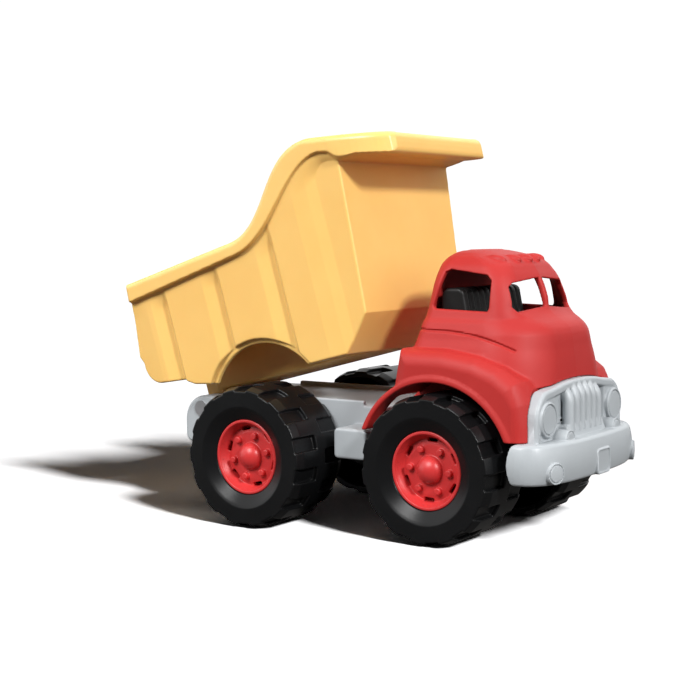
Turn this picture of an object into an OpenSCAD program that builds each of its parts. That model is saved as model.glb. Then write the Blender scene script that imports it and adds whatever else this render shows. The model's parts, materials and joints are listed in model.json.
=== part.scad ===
// Toy dump truck: a moulded chassis on two live axles, a cab-over body with a
// grille and bumper, and a scoop-shaped dump bed that tips about two rear pins.
// Millimetres, +X forward, +Y to the truck's left, +Z up, wheels standing on Z = 0.

/* [Wheels] */
// Distance between the two axles
wheelbase = 111; // [100:1:120]
// Outer radius of a tyre
tyre_r = 40; // [38:0.5:41]
// Width of a tyre
tyre_w = 43; // [36:1:44]
// Half of the width over the front tyres
front_half_track = 68.8; // [67:0.2:72]
// Half of the width over the rear tyres
rear_half_track = 81.2; // [80:0.2:86]
// Radius of the wheel rim
rim_r = 21.3; // [19:0.1:24]
// How far the rim sits back from the tyre's outer face
rim_recess = 3.8; // [2:0.1:6]
// Tread lugs on each shoulder of a tyre
lug_count = 14; // [10:1:20]
// Depth of the gaps between the tread lugs
lug_depth = 2.6; // [1:0.1:4]
// Width of the gaps between the tread lugs
lug_gap = 7.6; // [4:0.1:9]
// Wheel bolts moulded on each rim
bolt_count = 6; // [4:1:8]
// Radius of an axle
axle_r = 3; // [2.5:0.1:3.5]
// Radial clearance of a turning fit
running_gap = 0.08; // [0.02:0.01:0.1]

/* [Chassis] */
// Half width of the frame between the rear wheels
frame_half_w = 37; // [34:0.5:37.5]
// Half width of the frame between the front wheels
neck_half_w = 22.5; // [18:0.5:24]
// Height of the deck that the bed rests on
deck_z = 68; // [66:0.5:68]
// Height of the side rails beside the bed
rail_z = 70.8; // [69:0.2:71]
// Thickness of the moulded frame walls
frame_wall = 3; // [2:0.5:4]
// Half width over the two side tanks
tank_half_w = 57; // [50:1:60]

/* [Cab] */
// Thickness of the cab shell
cab_wall = 2.5; // [2:0.1:3]
// Radius of the front wheel arches
arch_r = 46; // [44:0.5:48]
// Half width over the front fenders
fender_half_w = 58; // [56:0.5:60]
// Lights along the front edge of the roof
roof_lights = 5; // [3:1:5]

/* [Bumper and grille] */
// Half width of the bumper
bumper_half_w = 62; // [58:1:64]
// Height of the bumper's lower edge
bumper_low_z = 35.5; // [33:0.5:40]
// Height of the bumper's upper edge
bumper_top_z = 57; // [54:0.5:58]
// Foremost point of the bumper, ahead of the front axle
bumper_front = 71.4; // [68:0.2:74]
// Upright bars in the grille
bar_count = 6; // [4:1:8]

/* [Dump bed] */
// Half width over the bed's side panels
bed_half_w = 57; // [54:0.5:60]
// Half width over the rim that runs round the bed
rim_half_w = 61.5; // [59:0.5:64]
// Thickness of the bed's walls
bed_wall = 2.8; // [2:0.1:4]
// Depth of the stepped ribs in the side panels
rib_depth = 2.6; // [1:0.1:3]
// Half width of the lower box that drops between the rear wheels
box_half_w = 31; // [26:0.5:32]
// Tilt of the bed in the drawn position
bed_tilt = 14.3; // [0:0.1:45]

/* [Hidden] */
$fn = 48;

red = "crimson";
grey = "lightsteelblue";
yellow = "goldenrod";
black = "dimgray";

// The origin lies on the ground below the middle of the truck at rest.
front_x = 72.85;
rear_x = front_x - wheelbase;
axle_z = tyre_r;
overlap = 0.5;
eps = 0.01;
// Farther out than any part of the truck reaches from the front axle.
far = 260;
// Clearance between pieces that lie against each other.
fit_gap = 0.3;

// ---- small helpers -------------------------------------------------------

function bezier(a, b, c, d, steps) = [
    for (i = [0:steps]) let (t = i / steps, u = 1 - t)
        u * u * u * a + 3 * u * u * t * b + 3 * u * t * t * c + t * t * t * d
];

function arc(centre, r, from, to, steps) = [
    for (i = [0:steps]) let (a = from + (to - from) * i / steps)
        centre + r * [cos(a), sin(a)]
];

// An X-Z outline made thick along Y, from y0 to y1.
module side_plate(points, y0, y1)
    translate([front_x, y1, 0]) rotate([90, 0, 0]) linear_extrude(y1 - y0) polygon(points);

module both_sides() {
    children();
    mirror([0, 1, 0]) children();
}

// A box given by its two opposite corners, along the truck from the front axle.
module block(low, high)
    translate([front_x + low.x, low.y, low.z]) cube(high - low);

// A rod along Y.
module cross_rod(x, z, r, y0, y1)
    translate([x, y1, z]) rotate([90, 0, 0]) cylinder(r = r, h = y1 - y0);

// A wood-screw shape pointing up, its head's underside at the given place.
screw_head_r = 3.2;
screw_head_h = 2;
screw_r = 1.5;
pilot_depth = 14;
module screw(place, length) {
    translate(place) {
        translate([0, 0, -screw_head_h]) difference() {
            cylinder(r = screw_head_r, h = screw_head_h);
            for (turn = [0, 90]) rotate([0, 0, turn])
                translate([-screw_r, -0.4, -eps]) cube([2 * screw_r, 0.8, 1]);
        }
        cylinder(r = screw_r, h = length);
    }
}

// ---- wheels --------------------------------------------------------------
// A wheel is drawn with its axis on Z and its outer face at Z = 0, facing up.

tyre_face_r = tyre_r - 1.8;
shoulder = 5.4;
rim_bed_r = 19;
bead_r = 27;
// Ring-shaped hollow in the back of a tyre.
hollow_in_r = 22;
hollow_out_r = 34.5;
hollow_floor = 7;

module tyre_shape() {
    lug_pitch = 360 / lug_count;
    lug_reach = tyre_w * 0.42;
    difference() {
        rotate_extrude() polygon([
            [rim_bed_r, -tyre_w + rim_recess], [hollow_in_r, -tyre_w + rim_recess],
            [hollow_in_r, -hollow_floor], [hollow_out_r, -hollow_floor],
            [hollow_out_r, -tyre_w], [tyre_face_r, -tyre_w], [tyre_r, -tyre_w + shoulder],
            [tyre_r, -shoulder], [tyre_face_r, 0], [bead_r + 1.5, 0], [bead_r, -0.8],
            [rim_r, -rim_recess], [rim_r, -rim_recess - 2.2], [rim_bed_r, -rim_recess - 2.2]
        ]);
        for (side = [0, 1]) for (i = [0:lug_count - 1])
            rotate([0, 0, (i + side / 2) * lug_pitch])
                translate([tyre_r - lug_depth, -lug_gap / 2, side == 0 ? -lug_reach : -tyre_w - 1])
                    cube([lug_depth + 2, lug_gap, lug_reach + 1]);
    }
}

bolt_circle_r = 12;
slot_circle_r = 16.1;
module rim_shape(axle_end_depth) {
    floor_depth = 5;
    difference() {
        union() {
            rotate_extrude() polygon([
                [0, -rim_recess - floor_depth], [13.4, -rim_recess - floor_depth],
                [16.8, -rim_recess - floor_depth - 0.6], [19.2, -rim_recess - 1], [19.4, -rim_recess],
                [20.9, -rim_recess], [rim_r - 0.05, -rim_recess - 0.4],
                [rim_r - 0.05, -rim_recess - 2.15], [rim_bed_r - 0.05, -rim_recess - 2.25],
                [rim_bed_r - 0.05, -tyre_w + rim_recess + 3], [16.2, -tyre_w + rim_recess + 3],
                [16.2, -rim_recess - floor_depth - 3], [0, -rim_recess - floor_depth - 3]
            ]);
            translate([0, 0, -rim_recess - floor_depth]) scale([1, 1, 0.8]) intersection() {
                sphere(r = 7.6);
                translate([-8, -8, -eps]) cube([16, 16, 8]);
            }
            for (i = [0:bolt_count - 1]) rotate([0, 0, i * 360 / bolt_count])
                translate([bolt_circle_r, 0, -rim_recess - floor_depth - overlap])
                    cylinder(r = 1.9, h = 2.6 + overlap);
            translate([0, 0, -tyre_w + rim_recess + 3]) cylinder(r = 7, h = tyre_w - 2 * rim_recess - 10);
        }
        for (i = [0:bolt_count - 1]) rotate([0, 0, (i + 0.5) * 360 / bolt_count])
            translate([slot_circle_r - 0.7, -3, -rim_recess - floor_depth - 4]) cube([1.4, 6, 5]);
        translate([0, 0, -tyre_w]) cylinder(r = axle_r, h = tyre_w - axle_end_depth);
    }
}

axle_end_depth = 14;

// side is -1 on the truck's right and 1 on its left.
module on_wheel(x, half_track, side)
    translate([x, side * half_track, axle_z]) rotate([-90 * side, 0, 0]) children();

module tyre(x, half_track, side)
    color(black) on_wheel(x, half_track, side) tyre_shape();

module rim(x, half_track, side)
    color(red) on_wheel(x, half_track, side) rim_shape(axle_end_depth);

module axle(x, half_track)
    color("silver") cross_rod(x, axle_z, axle_r, axle_end_depth - half_track, half_track - axle_end_depth);

module front_axle() axle(front_x, front_half_track);
module rear_axle() axle(rear_x, rear_half_track);
module front_left_tyre() tyre(front_x, front_half_track, 1);
module front_right_tyre() tyre(front_x, front_half_track, -1);
module rear_left_tyre() tyre(rear_x, rear_half_track, 1);
module rear_right_tyre() tyre(rear_x, rear_half_track, -1);
module front_left_rim() rim(front_x, front_half_track, 1);
module front_right_rim() rim(front_x, front_half_track, -1);
module rear_left_rim() rim(rear_x, rear_half_track, 1);
module rear_right_rim() rim(rear_x, rear_half_track, -1);

// ---- chassis -------------------------------------------------------------
// Places along the truck are measured from the front axle, forward positive.

hinge_along = -173;
hinge_z = 60;
hinge_r = 3;
frame_rear = -186;
frame_front = 52;
frame_low = 49;
neck_start = -44;
neck_top = 64;
rail_front = -58;
tail_half_w = 43;
tail_start = -154;
lug_gap_in = 20;
lug_gap_out = 27.5;
cradle_screw_along = 10;

function tail_profile(top) = concat(
    [[-150, frame_low - 10], [-150, top]],
    arc([frame_rear + 15, top - 15], 15, 90, 180, 8),
    arc([frame_rear + 5, frame_low - 5], 5, 180, 270, 4)
);

module frame_outside() {
    side_plate([[-156, frame_low], [neck_start, frame_low], [neck_start, deck_z], [-156, deck_z]],
        -frame_half_w, frame_half_w);
    both_sides() side_plate([[-156, frame_low], [rail_front, frame_low], [rail_front, rail_z],
        [-156, rail_z]], frame_half_w - frame_wall, frame_half_w);
    intersection() {
        side_plate(tail_profile(deck_z), -tail_half_w, tail_half_w);
        block([frame_rear, -tail_half_w, 0], [tail_start, tail_half_w, 100]);
    }
    block([neck_start - 1, -neck_half_w, frame_low], [frame_front, neck_half_w, neck_top]);
}

// Ribbed bays open towards the ground.
module frame_bays() {
    rear_bays = 5;
    rear_pitch = (neck_start - frame_wall + 150) / rear_bays;
    for (side = [-1, 1]) for (i = [0:rear_bays - 1])
        block([-150 + i * rear_pitch, side > 0 ? frame_wall / 2 : frame_wall - frame_half_w, 0],
            [-150 + (i + 1) * rear_pitch - frame_wall,
             side > 0 ? frame_half_w - frame_wall : -frame_wall / 2, deck_z - frame_wall]);
    neck_bays = 4;
    neck_pitch = (frame_front - neck_start) / neck_bays;
    for (i = [0:neck_bays - 1])
        block([neck_start + i * neck_pitch, frame_wall - neck_half_w, 0],
            [neck_start + (i + 1) * neck_pitch - frame_wall, neck_half_w - frame_wall,
             neck_top - frame_wall]);
    block([frame_rear + frame_wall, -12, 0], [tail_start - 2, 12, deck_z - frame_wall]);
}

module side_tank() {
    tank_rear = -65;
    tank_front = -43.5;
    tank_low = 40.5;
    tank_top = 57.5;
    edge = 2.5;
    side_plate(concat(
        arc([tank_rear + edge, tank_top - edge], edge, 180, 90, 4),
        arc([tank_front - edge, tank_top - edge], edge, 90, 0, 4),
        [[tank_front, tank_low], [tank_rear, tank_low]]), frame_half_w - 1, tank_half_w);
}

// Pads that the axle cradles screw against, with pilot holes for the screws.
module cradle_pad(along, half_w)
    block([along - 14, -half_w, frame_low], [along + 14, half_w, neck_top - 1]);

module cradle_holes(along)
    for (way = [-1, 1])
        translate([front_x + along + way * cradle_screw_along, 0, frame_low - 1])
            cylinder(r = screw_r, h = 10.5);

cab_screw_places = [[-19, 0], [40, 0]];
bumper_screw_places = [[45, -14], [45, 14]];

module chassis_frame() color(grey) difference() {
    union() {
        difference() {
            frame_outside();
            frame_bays();
        }
        both_sides() side_tank();
        cradle_pad(0, neck_half_w);
        cradle_pad(-wheelbase, frame_half_w - 1);
    }
    // Slots for the bed's two hinge lugs, open at the top and rear.
    both_sides() block([hinge_along - 8.5, lug_gap_in, hinge_z - 9], [-158, lug_gap_out, 80]);
    both_sides() block([-200, lug_gap_in, hinge_z - 9], [hinge_along, lug_gap_out, 80]);
    both_sides() cross_rod(front_x + hinge_along, hinge_z, hinge_r, lug_gap_in - 4, tail_half_w + 1);
    both_sides() cross_rod(front_x + hinge_along, hinge_z, 5, tail_half_w - 1.5, tail_half_w + 1);
    cradle_holes(0);
    cradle_holes(-wheelbase);
    for (p = cab_screw_places) translate([front_x + p.x, p.y, 0]) {
        cylinder(r = screw_r + 0.2, h = 80);
        cylinder(r = screw_head_r + 0.3, h = neck_top - frame_wall);
    }
    for (p = bumper_screw_places) translate([front_x + p.x, p.y, 0]) cylinder(r = screw_r + 0.2, h = 80);
}

module axle_cradle(along, half_w) color(grey) difference() {
    cradle_low = 34;
    block([along - 14, -half_w, cradle_low], [along + 14, half_w, frame_low]);
    block([along - 15, -half_w + 8, cradle_low - 1], [along - 5.5, half_w - 8, frame_low - 4]);
    block([along + 5.5, -half_w + 8, cradle_low - 1], [along + 15, half_w - 8, frame_low - 4]);
    cross_rod(front_x + along, axle_z, axle_r + running_gap, -half_w - 1, half_w + 1);
    for (way = [-1, 1]) translate([front_x + along + way * cradle_screw_along, 0, 0])
        cylinder(r = screw_r + 0.2, h = frame_low + 1);
}

module front_axle_cradle() axle_cradle(0, neck_half_w);
module rear_axle_cradle() axle_cradle(-wheelbase, frame_half_w - 1);

module cradle_screws() color("silver")
    for (along = [0, -wheelbase]) for (way = [-1, 1])
        screw([front_x + along + way * cradle_screw_along, 0, frame_low - 4], 12);

// ---- cab -----------------------------------------------------------------
// The upper cab is lofted through plan outlines at several heights. Each row is
// [height, back, front, half width, back corner radius, front corner radius, bow].

cab_rows = [
    [57, -25, 53, 50, 8, 26, 5], [84, -25, 53, 50, 8, 28, 5], [98, -22.5, 51.5, 49, 8, 30, 5],
    [104, -21, 50.5, 47.5, 8, 30, 5.5], [108, -20, 50, 46, 8, 29, 5.5],
    [111.5, -19.2, 49, 45, 8, 28, 5.5], [114.5, -18.3, 47, 43.8, 7, 27, 5.5],
    [116.8, -17.8, 44, 42.8, 7, 25, 5], [119.2, -17.2, 39.5, 41.2, 7, 19, 4.6],
    [122, -16.8, 36.3, 40, 7, 13, 3.8], [130, -15.6, 34.2, 38, 7, 12, 3.6],
    [138, -14.6, 31.6, 36, 7, 12, 3.4], [144, -13.9, 28.6, 33.6, 8, 12, 3],
    [149, -13.2, 24.5, 30, 9, 12, 2.6], [152.5, -11.5, 17, 25, 10, 12, 2],
    [154.6, -9, 9, 18, 8, 8, 1]
];
ring_steps = 7;

function cab_corner(cx, cy, r, from) = [
    for (i = [0:ring_steps]) let (a = from + 90 * i / ring_steps) [cx + r * cos(a), cy + r * sin(a)]
];

function cab_ring(row, inset) = let (
        b = row[1] + inset, f = row[2] - inset, w = row[3] - inset,
        rb = max(row[4] - inset, 1), rf = max(row[5] - inset, 1),
        flat = concat(
            cab_corner(f - rf, w - rf, rf, 0), cab_corner(b + rb, w - rb, rb, 90),
            cab_corner(b + rb, rb - w, rb, 180), cab_corner(f - rf, rf - w, rf, 270)))
    [for (p = flat) let (ahead = max(0, (p.x - (b + f) / 2) / ((f - b) / 2)))
        [p.x + row[6] * ahead * ahead * (1 - pow(abs(p.y) / w, 2)), p.y]];

module cab_loft(inset, drop) {
    rows = len(cab_rows);
    n = 4 * (ring_steps + 1);
    points = [for (row = cab_rows) for (p = cab_ring(row, inset)) [front_x + p.x, p.y, row[0] - drop]];
    sides = [for (k = [0:rows - 2]) for (i = [0:n - 1]) let (j = (i + 1) % n)
        each [[k * n + i, (k + 1) * n + i, (k + 1) * n + j], [k * n + i, (k + 1) * n + j, k * n + j]]];
    caps = [[for (i = [0:n - 1]) i], [for (i = [n - 1:-1:0]) (rows - 1) * n + i]];
    polyhedron(points, concat(sides, caps));
}

// Crest of a fender: place along the truck, distance in from its side, height.
fender_crest = [[-19, 0, 98], [4, 0, 97], [24, 0.5, 94], [38, 3, 89], [48, 10, 82]];
fender_edge_r = 6;
fender_front_r = 20;
fender_front = 57;
fender_rear = -25;
fender_low = 56;

module fender_body(inset) {
    half = fender_half_w - inset;
    hull() for (side = [-1, 1]) {
        for (p = fender_crest)
            translate([front_x + p.x, side * (fender_half_w - fender_edge_r - p.y), p.z])
                sphere(r = fender_edge_r - inset, $fn = 24);
        translate([front_x + fender_rear + inset, side > 0 ? half - 8 : -half, fender_low - inset]) cube(8);
        translate([front_x + fender_front - fender_front_r, side * (fender_half_w - 2 - fender_front_r), fender_low - inset])
            cylinder(r = fender_front_r - inset, h = 12, $fn = 32);
    }
}

// The space inside the shell. The wheel wells' round roofs stay across it.
module cab_room() difference() {
    union() {
        cab_loft(cab_wall, cab_wall);
        difference() {
            fender_body(cab_wall);
            block([-far, -far, 0], [far, far, fender_low - 2]);
        }
    }
    cross_rod(front_x, axle_z, arch_r + cab_wall, -far, far);
}

fender_end_z = 58;
arch_lip = 3.4;
window_low = 124;
window_high = 145;
side_window = [[-11, window_low + 1.5], [-6.3, window_high - 1.5], [-3, window_high],
    [19.8, window_high - 3], [22.6, window_high - 6], [23.3, window_low + 1],
    [22.4, window_low - 1], [-9.5, window_low]];
module side_windows() side_plate(side_window, -far, far);

module windshield_panes()
    both_sides() translate([front_x + 10, 0, 0]) rotate([90, 0, 90]) linear_extrude(far) polygon([
        [1.9, window_low - 0.4], [31, window_low - 2.2], [33.6, window_low + 0.8], [31.6, window_high - 8.6],
        [28.6, window_high - 6.4], [1.9, window_high - 4]]);

// Screw posts that stand on the frame, carry the seat moulding and join the shell.
seat_floor_z = 101;
cab_post_r = 4.5;
module cab_posts() {
    for (p = cab_screw_places) translate([front_x + p.x, p.y, neck_top])
        cylinder(r = cab_post_r, h = seat_floor_z - neck_top);
    block([40, -1.2, 88], [53.5, 1.2, seat_floor_z - 4]);
    block([-23.5, -1.2, 70], [-19, 1.2, seat_floor_z - 4]);
}

// Everything that the cab shell's outside is made of.
module cab_outside() {
    cab_loft(0, 0);
    difference() {
        fender_body(0);
        block([-far, -far, 0], [far, far, fender_low + overlap]);
    }
    both_sides() cross_rod(front_x, axle_z, arch_r + arch_lip, 47, fender_half_w + 0.4);
    for (i = [0:roof_lights - 1]) let (y = (i - (roof_lights - 1) / 2) * 11)
        translate([front_x + 24.5 - y * y / 90, y, 147.6]) scale([2.2, 1, 1]) sphere(r = 3, $fn = 24);
}

// The arches, their flat ends and the open underside.
module cab_underside() {
    cross_rod(front_x, axle_z, arch_r, -far, far);
    block([-far, -far, -far], [-10, far, fender_end_z]);
    block([-10, -far, -far], [far, far, bumper_top_z + fit_gap]);
    both_sides() block([bumper_back, surround_half_w + fit_gap, -far], [far, far, fender_end_z + 4]);
}

// Room for the frame's neck, the bumper's ledge and the grille surround.
module cab_clearance() {
    block([-far, -neck_half_w - fit_gap, 0], [far, neck_half_w + fit_gap, neck_top + fit_gap]);
    block([30, -ledge_half_w - fit_gap, 0], [far, ledge_half_w + fit_gap, ledge_top + fit_gap]);
    surround(-fit_gap, surround_back - fit_gap, far);
}

module cab_shell() color(red) difference() {
    union() {
        difference() {
            cab_outside();
            cab_room();
            cab_underside();
            side_windows();
            windshield_panes();
            cab_clearance();
        }
        cab_posts();
    }
    for (p = cab_screw_places) translate([front_x + p.x, p.y, neck_top - 1]) cylinder(r = screw_r, h = pilot_depth);
}

seat_front = 12;
seat_top = 136;
seat_half_w = 33;
dash_front = 31.5;
dash_half_w = 10;
wheel_y = 17;
wheel_z = 119;
module steering_place() translate([front_x + 22.5, wheel_y, wheel_z]) rotate([0, -35, 0]) children();

module cab_interior() color("dimgray") difference() {
    union() {
        block([-17, -seat_half_w, seat_floor_z], [dash_front, seat_half_w, seat_floor_z + 3]);
        block([dash_front - 1, -dash_half_w, seat_floor_z], [43, dash_half_w, seat_floor_z + 3]);
        block([27, 3 - seat_half_w, seat_floor_z], [dash_front, seat_half_w - 3, seat_floor_z + 12]);
        block([-9, -seat_half_w, 104], [seat_front - 2, seat_half_w, seat_top - 5]);
        for (side = [-1, 1]) translate([front_x - 6.5, 0, seat_top - 6]) rotate([90, 0, 0])
            translate([0, 0, side > 0 ? 0 : -seat_half_w]) hull() {
                translate([3, 0, 0]) cylinder(r = 6, h = seat_half_w, $fn = 32);
                translate([11.5, 0, 0]) cylinder(r = 5, h = seat_half_w, $fn = 32);
            }
        block([seat_front - 3, -seat_half_w, 104], [25, seat_half_w, 112]);
    }
    // The seat is a shell that is open below.
    block([-6.5, 3 - seat_half_w, seat_floor_z - 1], [seat_front - 5.5, seat_half_w - 3, seat_top - 8]);
    pleats = 11;
    for (i = [1:pleats - 1]) let (y = (i / pleats * 2 - 1) * seat_half_w)
        block([seat_front - 2.8, y - 0.6, 113], [seat_front + 1, y + 0.6, seat_top + 1]);
    steering_place() translate([0, 0, -column_length]) cylinder(r = column_r, h = column_length);
}

column_r = 1.6;
column_length = 12;
module steering_wheel() color("dimgray") steering_place() {
    rotate_extrude() translate([6.6, 0]) circle(r = 1.1);
    for (turn = [0, 120, 240]) rotate([0, 0, turn]) translate([0, -0.7, -0.7]) cube([6.4, 1.4, 1.4]);
    translate([0, 0, -column_length]) cylinder(r = column_r, h = column_length + 0.8);
}

module cab_screws() color("silver")
    for (p = cab_screw_places)
        screw([front_x + p.x, p.y, neck_top - frame_wall], 12);

// ---- bumper and grille ---------------------------------------------------

bumper_back = 46;
bow_power = 3;
function bumper_line(inset, steps) = [
    for (i = [-steps:steps]) let (t = sin(90 * i / steps), w = bumper_half_w - inset)
        [bumper_back + (bumper_front - inset - bumper_back)
            * pow(max(0, 1 - pow(abs(t), bow_power)), 1 / bow_power), w * t]
];

module bumper_solid(inset, low, high)
    translate([front_x, 0, low]) linear_extrude(high - low)
        polygon(bumper_line(inset, 20));

surround_half_w = 51.5;
surround_back = 50.5;
surround_front = 60;
surround_band = 4.6;
recess_floor = 53.4;
ledge_half_w = 24;
ledge_top = 67;
function surround_line(inset) = concat(
    [[surround_half_w - inset, bumper_top_z - 2]],
    arc([surround_half_w - 17, 67], 17 - inset, 0, 68, 8),
    bezier([27, 84.4 - inset], [16, 86.6 - inset], [-16, 86.6 - inset], [-27, 84.4 - inset], 10),
    arc([17 - surround_half_w, 67], 17 - inset, 112, 180, 8),
    [[inset - surround_half_w, bumper_top_z - 2]]
);

module surround(inset, x0, x1)
    translate([front_x + x0, 0, 0]) rotate([90, 0, 90]) linear_extrude(x1 - x0) polygon(surround_line(inset));

// A round lamp whose face looks forward.
module lamp(place, r, depth)
    translate([front_x + place.x, place.y, place.z]) rotate([0, 90, 0])
        translate([0, 0, -depth]) difference() {
            cylinder(r = r, h = depth);
            translate([0, 0, depth - 0.8]) difference() {
                cylinder(r = r - 1, h = 2);
                translate([0, 0, -1]) cylinder(r = r - 1.8, h = 4);
            }
        }

module grille_bars() {
    bar_pitch = 6.6;
    bar_r = 2.9;
    bar_top = 76;
    for (i = [0:bar_count - 1]) let (y = (i - (bar_count - 1) / 2) * bar_pitch) hull() {
        translate([front_x + 59, y, bumper_top_z - 1]) cylinder(r = bar_r, h = bar_top - bumper_top_z + 1, $fn = 24);
        translate([front_x + 59, y, bar_top]) sphere(r = bar_r, $fn = 24);
        translate([front_x + recess_floor - 1, y - bar_r, bumper_top_z - 1]) cube([1, 2 * bar_r, bar_top - bumper_top_z + 1 + bar_r]);
    }
}

module bumper_and_grille() color(grey) {
    difference() {
        union() {
            difference() {
                bumper_solid(0, bumper_low_z, bumper_top_z);
                bumper_solid(3, bumper_low_z - 1, bumper_top_z - 3);
            }
            difference() {
                surround(0, surround_back, surround_front);
                surround(surround_band, recess_floor, surround_front + 1);
            }
            grille_bars();
            both_sides() {
                lamp([59, 39.3, 68.2], 9.3, 6);
                lamp([66.5, 28.5, 57], 5.2, 13);
                lamp([68.2, 48.1, 42], 5.6, 9);
            }
            block([bumper_front - 4, -8, bumper_low_z + 0.2], [bumper_front + 0.7, 8, bumper_low_z + 14]);
            // Ledge that the chassis carries, with bosses for its two screws.
            block([38, -ledge_half_w, neck_top + 0.2], [56, ledge_half_w, ledge_top]);
            for (p = bumper_screw_places) translate([front_x + p.x, p.y, neck_top + 0.2])
                cylinder(r = 4, h = 12);
        }
        block([frame_front - 20, -neck_half_w - 0.4, 0], [frame_front + 0.4, neck_half_w + 0.4, neck_top + 0.2]);
        for (p = bumper_screw_places) translate([front_x + p.x, p.y, 0])
            cylinder(r = screw_r, h = neck_top + 10);
        translate([front_x + cab_screw_places[1].x, 0, 0]) cylinder(r = cab_post_r + 0.3, h = 80);
    }
}

module bumper_screws() color("silver")
    for (p = bumper_screw_places)
        screw([front_x + p.x, p.y, neck_top - frame_wall], 12);

// ---- dump bed ------------------------------------------------------------
// The bed is drawn level, resting on the deck, and then tilted about its pins.

bed_low = deck_z + 0.6;
bed_floor = 94.8;
bed_inner_w = bed_half_w - bed_wall - rib_depth;
well_x = -115.5;
well_z = 46.5;
well_r = 44;

rim_top_line = concat(
    [[-198, 143.5]], bezier([-112, 147.8], [-82, 149.3], [-78, 192], [-44, 189.4], 14), [[4.8, 179.6]]);
rim_low_line = concat(
    [[-198.3, 132]], bezier([-108, 139.8], [-80, 142.5], [-62, 180], [-38, 179.5], 14), [[2.3, 170.1]]);
tail_lip = [-203.5, 99];
tail_line = concat([tail_lip], arc([-188.5, 92.5], 12.5, 172, 262, 6), [[-172, 78.4]]);
front_line = concat([[-15, 175]], bezier([-19, 174.5], [-24.5, 173.5], [-27.4, 170], [-28.1, 162], 5), [[-33.9, 88.1]]);

function reverse(list) = [for (i = [len(list) - 1:-1:0]) list[i]];

// Outline of the whole bed seen from the side, cut out above the rear wheels.
bed_outline = concat(rim_top_line, front_line, [[-52, bed_low], [-78, bed_low]],
    arc([well_x, well_z], well_r, 31.5, 143.6, 16),
    [[-156, 72.6], [-164, 74.2]], reverse(tail_line), [[-198.3, 132]]);

// The space under the floor, between the side panels and behind the chamfered front.
underside_outline = [[-180, bed_floor - bed_wall], [-36, bed_floor - bed_wall], [-36.6, 88.9],
    [-55, bed_low - 0.4], [-55, 50], [-230, 50], [-230, 108.3]];

hollow_outline = concat(
    [for (p = rim_top_line) p + [0, 4]],
    [[1.8, 173.8], [-20, 178.4], [-27.5, 177.5], [-30.6, 172], [-31.8, 152], [-36.9, 91.5], [-37, bed_floor]],
    [[-178, bed_floor], [-203, 102], [-216, 106], [-216, 147]]);

trough_outline = [[-168, bed_floor + 1], [-166, bed_low + bed_wall], [-54.5, bed_low + bed_wall],
    [-38.5, 88.5], [-38, bed_floor + 1]];

box_outline = [[-170.4, bed_floor - 1], [-171.5, bed_low], [-53.5, bed_low], [-35.5, 88],
    [-35.5, bed_floor - 1]];

// Plan view of a side panel: flat bays that slope inwards to a step at each rib.
rib_places = [-172, -129, -85];
rib_slope = 11;
panel_plan = concat(
    [[-230, bed_half_w]],
    [for (x = rib_places) each [[x - rib_slope, bed_half_w], [x, bed_half_w - rib_depth], [x + 0.3, bed_half_w]]],
    [[-58, bed_half_w], [-34, bed_half_w - 3.5], [-10, bed_half_w - 7]]);

module panel_limits()
    translate([front_x, 0, 60]) linear_extrude(140)
        polygon(mirrored(panel_plan));

// Half of the rim's plan view, from the tail round the front corner, and its inside.
rim_plan = concat([[-240, rim_half_w], [-40, rim_half_w]],
    bezier([-40, rim_half_w], [-22, rim_half_w], [-8, 50], [0, 43.5], 8), [[3.2, 40.5], [4.8, 36.5]]);
lip_opening = concat([[-240, bed_inner_w], [-44, bed_inner_w]],
    bezier([-44, bed_inner_w], [-26, bed_inner_w], [-12, 45], [-4, 39.5], 6), [[0.4, 35], [1.8, 31]]);

function mirrored(half) = concat(half, [for (p = reverse(half)) [p.x, -p.y]]);

module bed_rim() {
    band = concat(rim_top_line, reverse(rim_low_line));
    intersection() {
        union() {
            both_sides() side_plate(band, bed_inner_w, rim_half_w);
            side_plate([[-26, 186], [4.8, 179.6], [2.3, 170.1], [-26, 176]], -rim_half_w, rim_half_w);
        }
        translate([front_x, 0, 100]) linear_extrude(100) polygon(mirrored(rim_plan));
    }
}

hinge_lug_r = 6.5;
module bed_level() {
    difference() {
        union() {
            difference() {
                intersection() {
                    side_plate(bed_outline, -bed_half_w, bed_half_w);
                    panel_limits();
                }
                side_plate(underside_outline, -bed_inner_w, bed_inner_w);
            }
            side_plate(box_outline, -box_half_w, box_half_w);
            bed_rim();
            // Tab that meets the deck below the front of the box.
            block([-62, -8, bed_low - 0.4], [-56, 8, bed_low + 2]);
        }
        intersection() {
            side_plate(hollow_outline, -bed_inner_w, bed_inner_w);
            translate([front_x, 0, 0]) linear_extrude(250) polygon(mirrored(lip_opening));
        }
        side_plate(trough_outline, bed_wall - box_half_w, box_half_w - bed_wall);
    }
    // Hinge lugs below the tail.
    both_sides() difference() {
        side_plate(concat([[-166, bed_low + 1]], [[-180, 84]],
            arc([hinge_along, hinge_z], hinge_lug_r, 160, 350, 12)), lug_gap_in + 0.5, lug_gap_out - 0.5);
        cross_rod(front_x + hinge_along, hinge_z, hinge_r + running_gap, lug_gap_in - 2, lug_gap_out + 2);
    }
}

module dump_bed() color(yellow)
    translate([front_x + hinge_along, 0, hinge_z]) rotate([0, -bed_tilt, 0])
        translate([-front_x - hinge_along, 0, -hinge_z]) bed_level();

module hinge_pin() color("silver") {
    cross_rod(front_x + hinge_along, hinge_z, hinge_r, lug_gap_in - 3.5, tail_half_w - 1.5);
    cross_rod(front_x + hinge_along, hinge_z, 4.8, tail_half_w - 1.5, tail_half_w + 0.5);
}
module left_hinge_pin() hinge_pin();
module right_hinge_pin() mirror([0, 1, 0]) hinge_pin();

// ---- the assembly --------------------------------------------------------

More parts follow.
